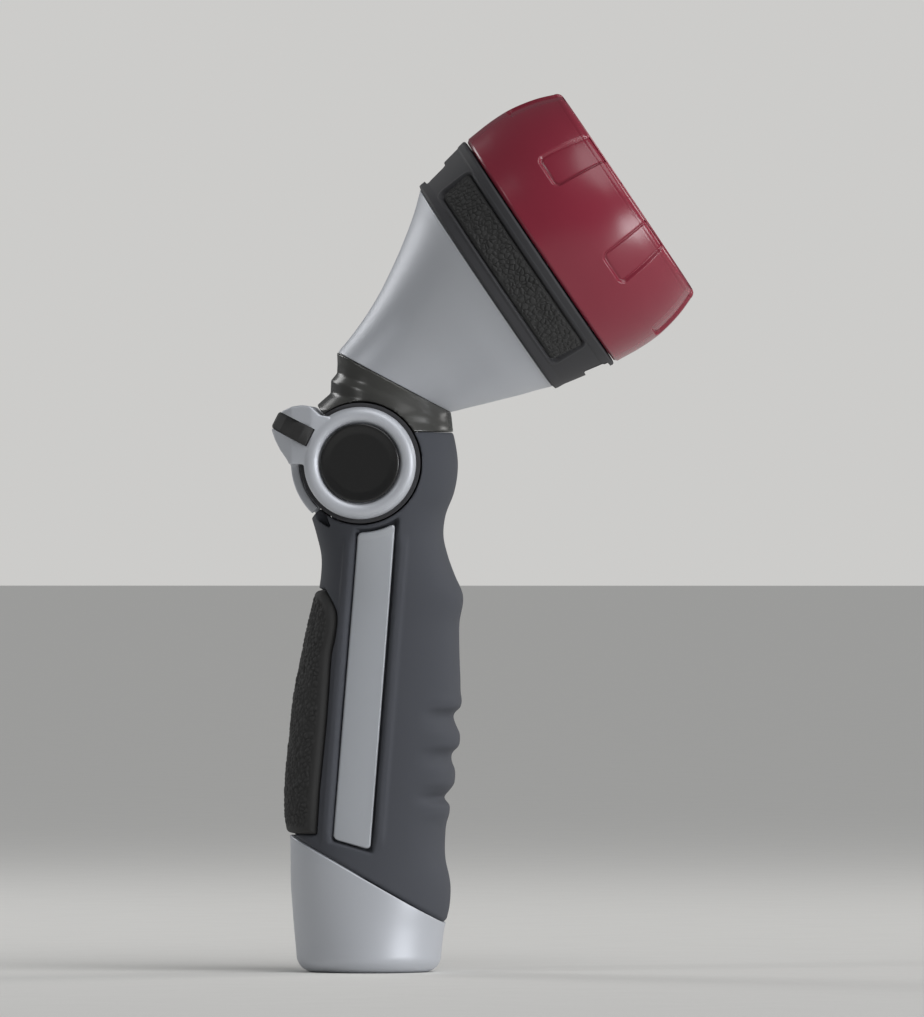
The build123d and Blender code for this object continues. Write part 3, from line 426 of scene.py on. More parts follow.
def make_wear_group():
    """Handling marks: a mask that is strongest along raised edges, and short fine scratches."""
    group, given, out = new_group("Handling wear", [("Edge", "Float", 0.5), ("Scratch", "Float", 0.3)],
                                  [("Edge mask", "Float"), ("Scratch mask", "Float")])
    edge = spread(group, add(group, "NewGeometry").outputs["Pointiness"], 0.52, 0.62)
    patch = spread(group, noise_field(group, place_coordinates(group, 420.0), 5.0), 0.42, 0.68)
    mask = math_node(group, "MULTIPLY", math_node(group, "MULTIPLY", edge, patch), given.outputs[0], True)
    where = add(group, "Mapping", None, {
        "Vector": place_coordinates(group, 1.0), "Rotation": (0.5, 0.9, 0.4),
        "Scale": (2600.0, 120.0, 420.0)})
    lines = spread(group, noise_field(group, where.outputs[0], 2.0), 0.66, 0.76)
    feed(group, out, {0: mask, 1: math_node(group, "MULTIPLY", lines, given.outputs[1], True)})


def make_flake_group():
    """Metallic paint: tiny flakes that shift the colour and tilt the surface."""
    group, given, out = new_group("Metal flake", [
        ("Colour", "Color", (0.5, 0.5, 0.5, 1)), ("Flakes per metre", "Float", 9000.0),
        ("Contrast", "Float", 0.2)], [("Colour", "Color"), ("Height", "Float")])
    where = place_coordinates(group, given.outputs[1])
    cells = add(group, "TexVoronoi", None, {"Vector": where, "Scale": 1.0})
    grey = add(group, "RGBToBW", None, {0: cells.outputs["Color"]}).outputs[0]
    light = math_node(group, "MULTIPLY", math_node(group, "SUBTRACT", grey, 0.5), given.outputs[2])
    light = math_node(group, "ADD", light, 1.0)
    tone = add(group, "VectorMath", {"operation": "SCALE"}, {0: given.outputs[0], 3: light}).outputs[0]
    feed(group, out, {0: tone, 1: grey})


def tint(c, by):
    return tuple(min(1.0, v * by) for v in c[:3]) + (1.0,)


def start_material(name, fixed=None):
    """A material with a Principled surface and its constant settings."""
    material = bpy.data.materials.new(name)
    material.use_nodes = True
    tree = material.node_tree
    tree.nodes.clear()
    surface = add(tree, "BsdfPrincipled", None, fixed or {})
    add(tree, "OutputMaterial", None, {0: surface.outputs[0]})
    return tree, surface


def bump(tree, height, strength, distance, surface):
    node = add(tree, "Bump", None, {"Strength": strength, "Distance": distance * MM, "Height": height})
    tree.links.new(node.outputs[0], surface.inputs["Normal"])


def grain_of(tree, colour, second, per_metre, rough):
    """The moulded grain between two colours, with its range of roughness."""
    return use_group(tree, "Moulded grain", {
        "Colour": colour, "Second colour": second, "Grain per metre": per_metre,
        "Rough low": rough[0], "Rough high": rough[1]})


def wear_of(tree, edge, scratch):
    return use_group(tree, "Handling wear", {"Edge": edge, "Scratch": scratch})


def scratched_rough(tree, surface, rough, scratches, amount):
    """The surface's roughness, with scratches rougher by an amount."""
    rougher = math_node(tree, "MULTIPLY", scratches, amount)
    tree.links.new(math_node(tree, "ADD", rough, rougher, True), surface.inputs["Roughness"])


def moulded_material(name, colour, second, grain, rough, height, fixed=None,
                     wear=0.5, scratch=0.25, worn=None):
    """Plastic or rubber: moulded grain, edges that handling has polished and fine scratches."""
    tree, surface = start_material(name, fixed)
    grained = grain_of(tree, colour, second, grain, rough)
    marks = wear_of(tree, wear, scratch)
    worn = worn or tuple(min(1.0, c * 1.4 + 0.006) for c in second[:3]) + (1.0,)
    tone = mix_colour(tree, marks.outputs[0], grained.outputs[0], worn)
    tone = mix_colour(tree, marks.outputs[1], tone, worn)
    tree.links.new(tone, surface.inputs["Base Color"])
    rubbed = math_node(tree, "MULTIPLY", marks.outputs[0], -0.12)
    rubbed = math_node(tree, "ADD", grained.outputs[1], rubbed, True)
    scratched_rough(tree, surface, rubbed, marks.outputs[1], 0.12)
    bump(tree, grained.outputs[2], height[0], height[1], surface)


def painted_silver(name, colour, metallic, rough, contrast, scratch):
    """Satin silver paint: flake, soft drift of sheen, rubbed edges and hairline scratches."""
    tree, surface = start_material(name, {"Metallic": metallic, "Coat Weight": 0.25, "Coat Roughness": 0.22})
    flake = use_group(tree, "Metal flake", {"Colour": colour, "Contrast": contrast})
    dark = tint(colour, 0.82)
    grained = grain_of(tree, (1, 1, 1, 1), (0.90, 0.91, 0.93, 1), 1300.0, rough)
    marks = wear_of(tree, 0.5, scratch)
    tone = mix_colour(tree, 1.0, flake.outputs[0], grained.outputs[0], "MULTIPLY")
    tone = mix_colour(tree, marks.outputs[0], tone, dark)
    tone = mix_colour(tree, marks.outputs[1], tone, (0.78, 0.79, 0.82, 1.0))
    tree.links.new(tone, surface.inputs["Base Color"])
    scratched_rough(tree, surface, grained.outputs[1], marks.outputs[1], 0.15)
    bump(tree, flake.outputs[1], 0.10, 0.02, surface)


def dial_material(name, colour, deep, front):
    """Red plastic: cloudy depth, paler mottled patches, a purple cast towards the front, and a painted lilac
    highlight along the rounded front edge whose colour also marks rubbed edges and scratches.
    """
    tree, surface = start_material(name, {
        "Coat Weight": 0.05, "Coat Roughness": 0.35, "Subsurface Weight": 0.08,
        "Subsurface Radius": (1.0, 0.25, 0.3), "Subsurface Scale": 0.003, "Specular IOR Level": 0.12})
    cloud = noise_field(tree, place_coordinates(tree, 42.0), 4.0)
    dark = spread(tree, cloud, 0.44, 0.62, 0.0, 0.9)
    pale = spread(tree, cloud, 0.49, 0.36, 0.0, 0.75)
    grained = grain_of(tree, colour, tint(colour, 0.82), 1800.0, (0.62, 0.74))
    marks = wear_of(tree, 0.05, 0.10)
    where = add(tree, "TexCoord").outputs["Object"]
    axial = add(tree, "VectorMath", {"operation": "DOT_PRODUCT"}, {0: where, 1: tuple(ALONG)})
    axial = axial.outputs["Value"]
    back = float(DIAL_BACK @ ALONG) * MM
    cast = spread(tree, axial, back + 0.010, back + 0.025, 0.0, 0.70)
    # painted highlight: a lilac band over the rounded front edge, standing in for light caught there
    rim = spread(tree, axial, back + 0.0246, back + 0.0256, 0.0, 0.75)
    tone = mix_colour(tree, dark, grained.outputs[0], deep)
    tone = mix_colour(tree, pale, tone, (0.31, 0.066, 0.105, 1))
    tone = mix_colour(tree, cast, tone, (0.195, 0.026, 0.092, 1))
    # the front colour is the painted lilac edge highlight, and also the colour of rubbed edges and scratches
    tone = mix_colour(tree, math_node(tree, "MAXIMUM", rim, marks.outputs[0]), tone, front)
    tone = mix_colour(tree, marks.outputs[1], tone, front)
    tree.links.new(tone, surface.inputs["Base Color"])
    scratched_rough(tree, surface, grained.outputs[1], marks.outputs[1], 0.2)
    bump(tree, grained.outputs[2], 0.06, 0.03, surface)


def metal_material(name, colour, rough, lines):
    """Bare metal with fine turning lines."""
    tree, surface = start_material(name, {"Metallic": 1.0})
    where = add(tree, "Mapping", None, {
        "Vector": place_coordinates(tree, 1.0), "Scale": (300.0, 300.0, lines)})
    streak = noise_field(tree, where.outputs[0], 3.0)
    marks = wear_of(tree, 0.5, 0.3)
    tone = mix_colour(tree, streak, colour, tint(colour, 0.72))
    tone = mix_colour(tree, marks.outputs[1], tone, (0.9, 0.9, 0.92, 1.0))
    sheen = spread(tree, streak, 0.3, 0.7, rough[0], rough[1])
    feed(tree, surface, {"Base Color": tone, "Roughness": sheen})
    bump(tree, streak, 0.12, 0.03, surface)


# ---- settings ----------------------------------------------------------------------------------
def length(label, text, default):
    return FloatProperty(name=label, description=text, default=default, unit="LENGTH", min=0.0, precision=5)


def colour(label, text, default):
    return FloatVectorProperty(name=label, description=text, default=default, subtype="COLOR", size=4,
                               min=0, max=1)


class NozzleSizes(PropertyGroup):
    """Sizes that the pieces are drawn with."""
    pebble: length("Pebble", "Width of one pebble on the rubber pads", 0.00125)
    pebble_rise: length("Pebble rise", "Height of the pebbles above the valleys", 0.00052)
    recess_depth: length("Recess depth", "Depth of the dial's finger recesses", 0.0007)
    thread_pitch: length("Thread pitch", "Pitch of the hose thread", 0.0022087)
    thread_depth: length("Thread depth", "Depth of the hose thread", 0.0013)
    pad_proud: length("Pad rise", "How far the rear pad stands above the grip", 0.0008)
    inlay_sink: length("Inlay sink", "How far the side inlay lies below the grip", 0.00035)


class NozzleColours(PropertyGroup):
    """Colours of the finishes."""
    rubber: colour("Rubber", "Grip sleeve", (0.0150, 0.0155, 0.0170, 1))
    pebble: colour("Pebbled rubber", "Rear pad, collar panels and thumb rib", (0.0075, 0.0075, 0.0080, 1))
    silver: colour("Satin silver", "Cone, foot and thumb lever", (0.50, 0.515, 0.55, 1))
    inlay: colour("Inlay silver", "Side inlays", (0.33, 0.34, 0.37, 1))
    red: colour("Dial red", "Pattern dial", (0.190, 0.021, 0.039, 1))
    deep_red: colour("Deep red", "Darker clouds in the dial", (0.080, 0.006, 0.012, 1))
    neck: colour("Neck", "Glossy neck cover", (0.0060, 0.0060, 0.0044, 1))
    collar: colour("Collar", "Collar ring", (0.0120, 0.0130, 0.0136, 1))
    cap: colour("Hub cap", "Thumb lever's caps", (0.0018, 0.0018, 0.002, 1))
    floor: colour("Floor", "Stage floor", (0.74, 0.735, 0.715, 1))


def sizes():
    return bpy.context.scene.nozzle_sizes


def colours():
    return bpy.context.scene.nozzle_colours


# ---- the grip's surface ------------------------------------------------------------------------
def grip_skin(z, t, grow=0.0):
    """Points of the handle's outer skin at heights z and section angles t, grown outwards."""
    z, t = np.broadcast_arrays(np.asarray(z, float), t)
    rear, front, half, power = np.moveaxis(smooth_table(GRIP_TABLE, z), -1, 0)
    middle, depth = (rear + front) / 2, (front - rear) / 2
    c, s = np.cos(t), np.sin(t)
    x = depth * np.sign(c) * np.abs(c) ** (2 / power)
    y = half * np.sign(s) * np.abs(s) ** (2 / power)
    nx, ny = x / depth ** 2, y / half ** 2
    size = np.hypot(nx, ny)
    return np.stack([middle + x + grow * nx / size, y + grow * ny / size, z], -1)


def parting_height(x):
    (x0, z0), (x1, z1) = PARTING
    return z0 + (z1 - z0) * (x - x0) / (x1 - x0)


def parting_ring(t, shift=0.0):
    """Heights where the slanted parting plane meets the skin."""
    z = np.full_like(t, 22.0)
    for _ in range(6):
        z = parting_height(grip_skin(z, t)[..., 0]) + shift
    return z


def inlay_distance(x, z):
    """How far a side point is outside the inlay's outline, below zero inside it."""
    across = np.abs(x - INLAY_FOOT[0] - INLAY_LEAN * (z - INLAY_FOOT[1])) - INLAY_HALF
    return np.maximum(across, np.maximum(inlay_low(x) - z, z - inlay_high(x)))


def inlay_low(x):
    return 32.0 - 0.284 * (x - INLAY_FOOT[0])


def inlay_high(x):
    return HUB[2] - np.sqrt(np.maximum(INLAY_END_R ** 2 - (x - HUB[0]) ** 2, 1.0))


def pad_inside(x, z):
    """How far a point is inside the rear pad's boundary, as distances across and along."""
    edge = smooth_table(PAD_EDGE, z)[..., 0]
    return np.minimum(edge - x, np.minimum(z - PAD_EDGE[0, 0], PAD_EDGE[-1, 0] - z))


def grip_relief(points):
    """Moulded relief of the sleeve: finger notches, inlay channel, ridges beside it and the pad's bed."""
    x, y, z = points[..., 0], points[..., 1], points[..., 2]
    rear, front, half, _ = np.moveaxis(smooth_table(GRIP_TABLE, z), -1, 0)
    forward = np.clip((x - (rear + front) / 2) / ((front - rear) / 2), 0, 1)
    relief = np.zeros_like(x)
    relief += smooth_table(FINGER_LINE, z)[..., 0] * ease(0.5, 0.93, forward)
    sideways = ease(0.35, 0.6, np.abs(y) / half)
    out = inlay_distance(x, z)
    relief -= sideways * 2.0 * (1 - ease(0.35, 0.8, out))
    ridge = ease(0.8, 1.4, out) * (1 - ease(2.6, 3.6, out))
    relief += sideways * 0.60 * ridge * ease(30.0, 36.0, z) * (1 - ease(106, 110, z))
    relief -= 1.2 * ease(-0.35, 0.1, pad_inside(x, z))
    return relief


def make_grip_sleeve():
    """The rubber sleeve: an outer skin with relief and an inner skin, cut out round the hub."""
    cols, rows, inner_rows = 340, 350, 70
    t = np.linspace(0, TURN, cols, endpoint=False)
    low = parting_ring(t, FIT)
    share = np.linspace(0, 1, rows)[:, None]
    outer = grip_skin(low + (GRIP_TOP - low) * share, t)
    relief = grip_relief(outer)
    lip = 0.5 * (1 - ease(0.0, 0.006, share)) + 0.25 * ease(0.996, 1.0, share)
    outer = grip_skin(outer[..., 2], t, relief - lip)
    share = np.linspace(1, 0, inner_rows)[:, None]
    inner = grip_skin(low + (GRIP_TOP - low) * share, t, -SLEEVE_WALL)
    piece = ring_solid("grip_sleeve_skin", np.concatenate([outer, inner]))
    cut_round_hub(piece)
    tail = arc(17.8, 222, 274, 16) + arc(13.0, 274, 222, 16)
    for low_y, high_y in ((-13.0, -9.0), (9.0, 13.0)):
        boolean(piece, prism("tail_cut", tail, low_y, high_y, HUB_MIDDLE))
    remesh(piece, 0.30, 5)
    return dress(piece, "handle", "grip_rubber", ("grip_sleeve",))


def cut_round_hub(piece):
    """Room round the hub: a full circle joined to the space that the thumb lever sweeps."""
    outline = arc(HUB_HOLE_R, SWEEP_END - 360, SWEEP_START, 90) + arc(SWEEP_REACH, SWEEP_START, SWEEP_END, 24)
    boolean(piece, prism("hub_cut", outline, -CUT_REACH, CUT_REACH, HUB_MIDDLE))


def make_rear_pad():
    """The pebbled pad down the back of the grip."""
    rows, cols = 250, 190
    z = np.linspace(PAD_EDGE[0, 0] + FIT, PAD_EDGE[-1, 0] - FIT, rows)[:, None]
    rear, front, _, power = np.moveaxis(smooth_table(GRIP_TABLE, z), -1, 0)
    edge = smooth_table(PAD_EDGE, z)[..., 0] - FIT
    half = np.arccos(np.clip(((rear + front) / 2 - edge) / ((front - rear) / 2), 0.0, 1.0) ** (power / 2))
    t = math.pi + half * np.linspace(-1, 1, cols)[None, :]
    base = grip_skin(z, t)
    inside = pad_inside(base[..., 0], z) - FIT
    edge_round, edge_depth, field_sink = 1.3, 0.9, 0.28
    corner = np.clip(inside / edge_round, 0, 1)
    rise = sizes().pad_proud / MM
    crown = -edge_depth + (rise + edge_depth) * np.sqrt(1 - (1 - corner) ** 2)
    field = ease(1.5, 2.3, inside)
    crown = crown - field_sink * field + field * pebbles(base, sizes().pebble / MM, sizes().pebble_rise / MM)
    piece = plate_solid("rear_grip_pad_skin", grip_skin(z, t, crown), grip_skin(z, t, -PAD_DEPTH))
    return dress(piece, "handle", "pebble_rubber", ("rear_grip_pad",))


def make_inlay(side):
    """One silver strip, set in its channel, with rounded corners and a curled upper end."""
    rows, cols, corner = 340, 44, 1.3
    v = np.linspace(0, 1, rows)[:, None]
    u = np.sin(np.linspace(-1, 1, cols) * math.pi / 2)[None, :]
    run = v * (inlay_high(0.0) - INLAY_FOOT[1])
    end = np.minimum(run, run[-1] - run)
    pinch = np.where(end < corner, corner - np.sqrt(np.maximum(corner ** 2 - (corner - end) ** 2, 0)), 0.0)
    half = INLAY_HALF - 0.1 - pinch
    centre = INLAY_FOOT[0] + INLAY_LEAN * run
    x = centre + half * u
    low, high = inlay_low(x) + 0.1, inlay_high(x) - 0.1
    z = low + (high - low) * v
    rear, front, width, power = np.moveaxis(smooth_table(GRIP_TABLE, z), -1, 0)
    reach = np.clip(np.abs(x - (rear + front) / 2) / ((front - rear) / 2), 0, 1)
    y = width * (1 - reach ** power) ** (1 / power)
    inside = np.minimum(half - np.abs(x - centre), np.minimum(z - low, high - z))
    roll = edge_roll(inside, 0.45)
    curl = 0.30 * ease(high - 2.2, high - 0.7, z)
    face = y - sizes().inlay_sink / MM - roll + curl
    back = y - 1.8
    sign = 1 if side == "left" else -1
    piece = plate_solid("inlay_skin_" + side, np.stack([x, sign * face, z], -1),
                        np.stack([x, sign * back, z], -1))
    return dress(piece, "handle", "inlay_silver", ("inlay_" + side,))


def make_foot():
    """The silver foot: a round rim that swells into the grip and ends on the slanted parting line."""
    cols = 300
    t = np.linspace(0, TURN, cols, endpoint=False)
    rim, mouth, socket, seat = 4.0, 13.75, 16.1, 15.3
    top = parting_ring(t, -0.12)
    rings = []
    for h in rim * (1 - np.cos(np.linspace(0, math.pi / 2, 14))):
        inset = rim - math.sqrt(max(rim ** 2 - (rim - h) ** 2, 0.0))
        rings.append(grip_skin(np.full(cols, h), t, -inset))
    for share in np.linspace(0.02, 1, 60):
        z = rim + (top - 0.3 - rim) * share
        rings.append(grip_skin(z, t))
    rings.append(grip_skin(top - 0.08, t, -0.10))
    rings.append(grip_skin(top, t, -0.34))
    rings.append(circle_ring(socket, top, t))
    for r, z in ((socket, 2.25), (seat, 2.2), (seat, 0.98), (mouth, 0.95), (mouth, 0.3)):
        rings.append(circle_ring(r, np.full(cols, z), t))
    rings.append(circle_ring(mouth + 0.1, np.zeros(cols), t))
    piece = ring_solid("base_ferrule_skin", np.array(rings))
    return dress(piece, "handle", "satin_silver", ("base_ferrule",))


def circle_ring(radius, z, t):
    return np.stack([radius * np.cos(t), radius * np.sin(t), z], -1)


def make_thread():
    """The threaded insert with its helical hose thread."""
    cols = 180
    t = np.linspace(0, TURN, cols, endpoint=False)
    pitch, depth = sizes().thread_pitch / MM, sizes().thread_depth / MM
    minor, outer, step, chamfer, fade = 12.3, 15.2, 0.11, 0.3, 0.8
    rings = []
    for z in np.arange(INSERT_LOW, INSERT_HIGH + 0.01, step):
        phase = (z / pitch - t / TURN) % 1.0
        groove = np.clip(1.55 - np.abs(phase - 0.5) * 4.4, 0, 1)
        runout = min(ease(0, fade, z - INSERT_LOW), ease(0, fade, INSERT_HIGH - z))
        rings.append(circle_ring(minor + depth * groove * runout, np.full(cols, z), t))
    for r, z in ((outer - chamfer, INSERT_HIGH), (outer, INSERT_HIGH - chamfer),
                 (outer, INSERT_LOW + chamfer), (outer - chamfer, INSERT_LOW)):
        rings.append(circle_ring(r, np.full(cols, z), t))
    piece = ring_solid("thread_insert_skin", np.array(rings))
    return dress(piece, "handle", "insert_alloy", ("thread_insert",))


# ---- neck, cone and collar ---------------------------------------------------------------------
def slices(table, to_point, shares, grow=0.0, cols=220, smooth=True):
    """Elliptical sections square to the symmetry plane, read along a table of their ends."""
    rows = []
    for a, b, half in table:
        p, q = to_point(*a), to_point(*b)
        rows.append((p[0], p[2], q[0], q[2], half))
    rows = np.array(rows)
    if smooth:
        steps = np.hypot(*(np.diff((rows[:, 0:2] + rows[:, 2:4]) / 2, axis=0).T))
        at = np.concatenate([[0], np.cumsum(steps)])
        rows = smooth_table(np.column_stack([at, rows]), shares * at[-1])
    else:
        at = np.linspace(0, 1, len(rows))
        rows = np.column_stack([np.interp(shares, at, rows[:, i]) for i in range(5)])
    t = np.linspace(0, TURN, cols, endpoint=False)
    rings = []
    for x0, z0, x1, z1, half in rows:
        middle = np.array([(x0 + x1) / 2, 0, (z0 + z1) / 2])
        span = np.array([x0 - x1, 0, z0 - z1])
        reach = np.linalg.norm(span) / 2
        up = span / (2 * reach)
        rings.append(middle + np.outer(np.cos(t) * (reach + grow), up)
                     + np.outer(np.sin(t) * (half + grow), [0, 1, 0]))
    return np.array(rings)


def from_hub(x, z):
    return np.array([HUB[0] + x, 0, HUB[2] + z])


def from_dial(axial, radial):
    return DIAL_BACK + axial * ALONG + radial * ACROSS


def make_neck():
    """The glossy neck cover: stepped at the rear, hollow, cut out round the hub."""
    shares = np.linspace(0.13, 1, 120)
    piece = capped_solid("neck_cover_skin", slices(NECK_TABLE, from_hub, shares, smooth=False))
    hollow = slices(NECK_TABLE, from_hub, np.linspace(0, 1, 40), -NECK_WALL, smooth=False)
    boolean(piece, capped_solid("neck_hollow", hollow + np.array([0.3, 0, 0.9])))
    cut_round_hub(piece)
    reach, floor = 60, GRIP_TOP - HUB[2] + 0.12
    below = [(-reach, -reach), (reach, -reach), (reach, floor), (-reach, floor)]
    boolean(piece, prism("below_cut", below, -CUT_REACH, CUT_REACH, HUB_MIDDLE))
    remesh(piece, 0.27, 5)
    return dress(piece, "handle", "neck_dark", ("neck_cover",))


def make_cone():
    """The silver trumpet between the neck and the collar."""
    outer = slices(CONE_TABLE, from_dial, np.linspace(0, 1, 130), cols=300)
    inner = slices(CONE_TABLE, from_dial, np.linspace(1, 0, 60), -CONE_WALL, cols=300)
    first, last = outer[0], outer[-1]
    edge_a = first + (inner[-1] - first) * 0.12
    edge_b = last + (inner[0] - last) * 0.12
    outer[0] = first + (outer[1] - first) * 0.25
    outer[-1] = last + (outer[-2] - last) * 0.25
    piece = ring_solid("cone_shroud_skin", np.concatenate([[edge_a], outer, [edge_b], inner]))
    return dress(piece, "handle", "satin_silver", ("cone_shroud",))


def box_inside(a, b, half_a, half_b, corner):
    """Signed distance of a rounded rectangle, below zero inside."""
    qa, qb = np.abs(a) - half_a + corner, np.abs(b) - half_b + corner
    return np.hypot(np.maximum(qa, 0), np.maximum(qb, 0)) + np.minimum(np.maximum(qa, qb), 0) - corner


def turn_from(angle, centre):
    return (angle - centre + math.pi) % TURN - math.pi


def make_collar():
    """The dark collar: a tapered band with a notch above and below and a framed panel on each side."""
    cols = 760
    angle = np.linspace(0, TURN, cols, endpoint=False)[None, :]
    line = [(-9.5, 28.05), (-9.6, 26.7), (-16.1, 26.7), (-16.2, 29.9), (-16.05, 30.45), (-15.5, 30.6)]
    taper = [(-15.5, 30.6), (-13.6, 30.75), (-0.9, 33.3), (-0.45, 33.1), (-0.32, 32.6), (-0.32, 28.2),
             (-0.5, 28.05)]
    profile = np.array(subdivide_line(line, 1.2)[:-1] + subdivide_line(taper, 0.2) + [(-5.0, 28.05)])
    z, r = profile[:, 0][:, None], profile[:, 1][:, None]
    outside = ((z > -16.3) & (r > 30.2)).astype(float)
    relief = np.zeros((len(profile), cols))
    notch_half, notch_corner, notch_depth = math.radians(14) * 33, 0.8, 2.4
    for centre, middle, half in ((0.0, -11.0, 3.2), (math.pi, -4.7, 3.1)):
        gap = box_inside(turn_from(angle, centre) * r, z - middle, notch_half, half, notch_corner)
        relief -= notch_depth * (1 - ease(-0.22, 0.12, gap))
    for centre in (math.pi / 2, -math.pi / 2):
        panel = box_inside(turn_from(angle, centre) * r, z - PANEL_MIDDLE, COLLAR_PANEL * PANEL_R,
                           PANEL_HALF, 1.5)
        relief -= 1.15 * (1 - ease(-0.15, 0.15, panel))
        relief += 0.15 * ease(0.15, 0.35, panel) * (1 - ease(0.7, 1.0, panel))
    band = 0.2 * ease(-2.9, -2.6, z)
    piece = ring_solid("collar_ring_skin", on_head(z, r + (relief + band) * outside, angle))
    return dress(piece, "handle", "collar_black", ("collar_ring",))


def collar_radius(z):
    return 30.75 + (z + 13.6) * (33.3 - 30.75) / 12.7


def make_collar_pad(side):
    """One pebbled panel of the collar."""
    rows, cols = 62, 400
    margin, corner = 0.35, 1.2
    half_length, half_width = COLLAR_PANEL * PANEL_R - margin, PANEL_HALF - margin
    z = PANEL_MIDDLE + half_width * np.linspace(-1, 1, rows)[:, None]
    along = half_length * np.linspace(-1, 1, cols)[None, :]
    step = half_length - np.abs(along)
    shrink = np.where(step < corner, corner - np.sqrt(np.maximum(corner ** 2 - (corner - step) ** 2, 0)), 0.0)
    z = PANEL_MIDDLE + (z - PANEL_MIDDLE) * (half_width - shrink) / half_width
    centre = math.pi / 2 if side == "right" else -math.pi / 2
    angle = centre + along / PANEL_R
    r = collar_radius(z)
    inside = np.minimum(half_width - shrink - np.abs(z - PANEL_MIDDLE), step)
    base = on_head(z, r, angle)
    lumps = pebbles(base, sizes().pebble / MM, sizes().pebble_rise / MM) * ease(0.4, 0.9, inside)
    front = on_head(z, r - 0.50 - edge_roll(inside, 0.5) + lumps, angle)
    piece = plate_solid("collar_pad_skin_" + side, front, on_head(z, r - PAD_DEPTH, angle))
    return dress(piece, "handle", "pebble_rubber", ("collar_pad_" + side,))


# ---- dial --------------------------------------------------------------------------------------
def dial_profile():
    """The dial's section as (axial, radius), round from the back of the bore."""
    outer = [(0.75, 33.35), (3.0, 33.55), (6.0, 33.8), (9.5, 33.9), (13.0, 33.75), (17.0, 33.1),
             (21.0, 32.05), (24.3, 30.8)]
    along = np.linspace(outer[0][0], outer[-1][0], 100)
    shape = smooth_table(np.array(outer), along)[:, 0]
    line = [(1.95, 26.9), (0.02, 26.9), (0.02, 32.7), (0.25, 33.15)]
    line = subdivide_line(line, 0.8)[:-1] + list(zip(along, shape))
    line += rounded_corner(24.3, 28.8, 1.9, 85, 4, 12)
    line += [(26.22, 28.55), (26.0, 28.2), (25.6, 27.95), (23.7, 27.9), (12.0, 27.98), (2.0, 27.98)]
    return np.array(line)


def make_dial():
    """The red dial with its finger recesses."""
    cols = FINGER_RECESSES * 132
    angle = np.linspace(0, TURN, cols, endpoint=False)[None, :]
    profile = dial_profile()
    z, r = profile[:, 0][:, None], profile[:, 1][:, None]
    outside = (r > 29.0) * ease(1.0, 2.0, z)
    relief = np.zeros((len(profile), cols))
    depth = sizes().recess_depth / MM
    for i in range(FINGER_RECESSES):
        centre = math.pi / 2 + TURN / FINGER_RECESSES * (i + 0.5)
        gap = box_inside(turn_from(angle, centre) * RECESS_R, z - 32.4, RECESS_HALF, 20.0, RECESS_CORNER)
        relief -= depth * (1 - ease(-0.22, 0.22, gap))
        relief -= 0.22 * np.exp(-((gap + 0.35) / 0.22) ** 2)
    piece = ring_solid("dial_bezel_skin", on_head(z, r + relief * outside, angle))
    return dress(piece, "dial", "dial_red", ("dial_bezel",))


# ---- thumb lever -------------------------------------------------------------------------------
def turned(name, profile, side, cols=160):
    """A piece turned about the hub's axis, from (radius, distance from the symmetry plane)."""
    angle = np.linspace(0, TURN, cols, endpoint=False)
    rings = [np.stack([HUB[0] + r * np.cos(angle), np.full(cols, side * y), HUB[2] + r * np.sin(angle)], -1)
             for r, y in profile]
    return capped_solid(name, np.array(rings))


def lever_outline():
    """The paddle in side view, from the hub."""
    return [(-7.6, 11.6), (-9.9, 11.95), (-12.3, 14.15), (-14.4, 14.45), (-16.9, 14.1), (-19.2, 13.1),
            (-20.9, 11.9), (-22.0, 9.8), (-22.2, 8.2), (-21.3, 5.8), (-20.0, 3.3), (-18.2, 0.8),
            (-17.7, -0.3), (-12.8, -0.3)]


def make_lever():
    """The silver thumb lever: a half-round ring on each side, a paddle and a forked tail."""
    low = DRUM_HALF + 0.3
    web = low + 1.35
    crown = rounded_corner(11.97, RING_FACE - 2.02, 2.02, 0, 180, 14)
    section = [(0.5, low), (13.6, low), (13.99, low + 0.4)] + crown + [(9.95, web), (0.5, web)]
    parts = [turned("ring", section, side) for side in (1, -1)]
    paddle = prism("paddle", lever_outline(), -RING_FACE, RING_FACE, HUB_MIDDLE)
    w = RING_FACE - 0.35
    plan = [(20, -w), (-12, -w), (-17, -w + 1.6), (-21, -w + 4.6), (-23.6, -w + 8.5), (-25.5, -w + 12)]
    plan += [(x, -y) for x, y in reversed(plan)]
    taper = prism("taper", plan, -CUT_REACH, CUT_REACH, HUB_MIDDLE, plan=True)
    boolean(paddle, taper, "INTERSECT")
    boolean(paddle, prism("drum", arc(DRUM_R, 0, 356, 89), -low, low, HUB_MIDDLE))
    boolean(paddle, prism("ring_bore", arc(RING_BORE_R, 0, 356, 89), -30, 30, HUB_MIDDLE))
    tail = arc(17.45, 168, 226, 30) + arc(DRUM_R, 226, 168, 30)
    saddle = prism("saddle", tail, -12.5, 12.5, HUB_MIDDLE)
    fork = arc(19.0, 181.5, 232, 20) + arc(14.0, 232, 181.5, 20)
    boolean(saddle, prism("fork", fork, -9.3, 9.3, HUB_MIDDLE))
    piece = join([paddle, saddle] + parts)
    piece.name = "thumb_lever_skin"
    remesh(piece, 0.26, 9, 0.6)
    boolean(piece, rib_prism("rib_slot", 0.06))
    return dress(piece, "lever", "satin_silver", ("thumb_lever",))


def rib_prism(name, extra=0.0):
    """The straight slot that the thumb rib sits in."""
    a = math.radians(LEVER_ANGLE)
    out, up = np.array([math.cos(a), math.sin(a)]), np.array([-math.sin(a), math.cos(a)])
    half, root, far = RIB_THICK / 2 + extra, RIB_ROOT - extra, 30.0
    corners = [out * r + up * s for r, s in ((root, -half), (far, -half), (far, half), (root, half))]
    return prism(name, [tuple(c) for c in corners], -far, far, HUB_MIDDLE)


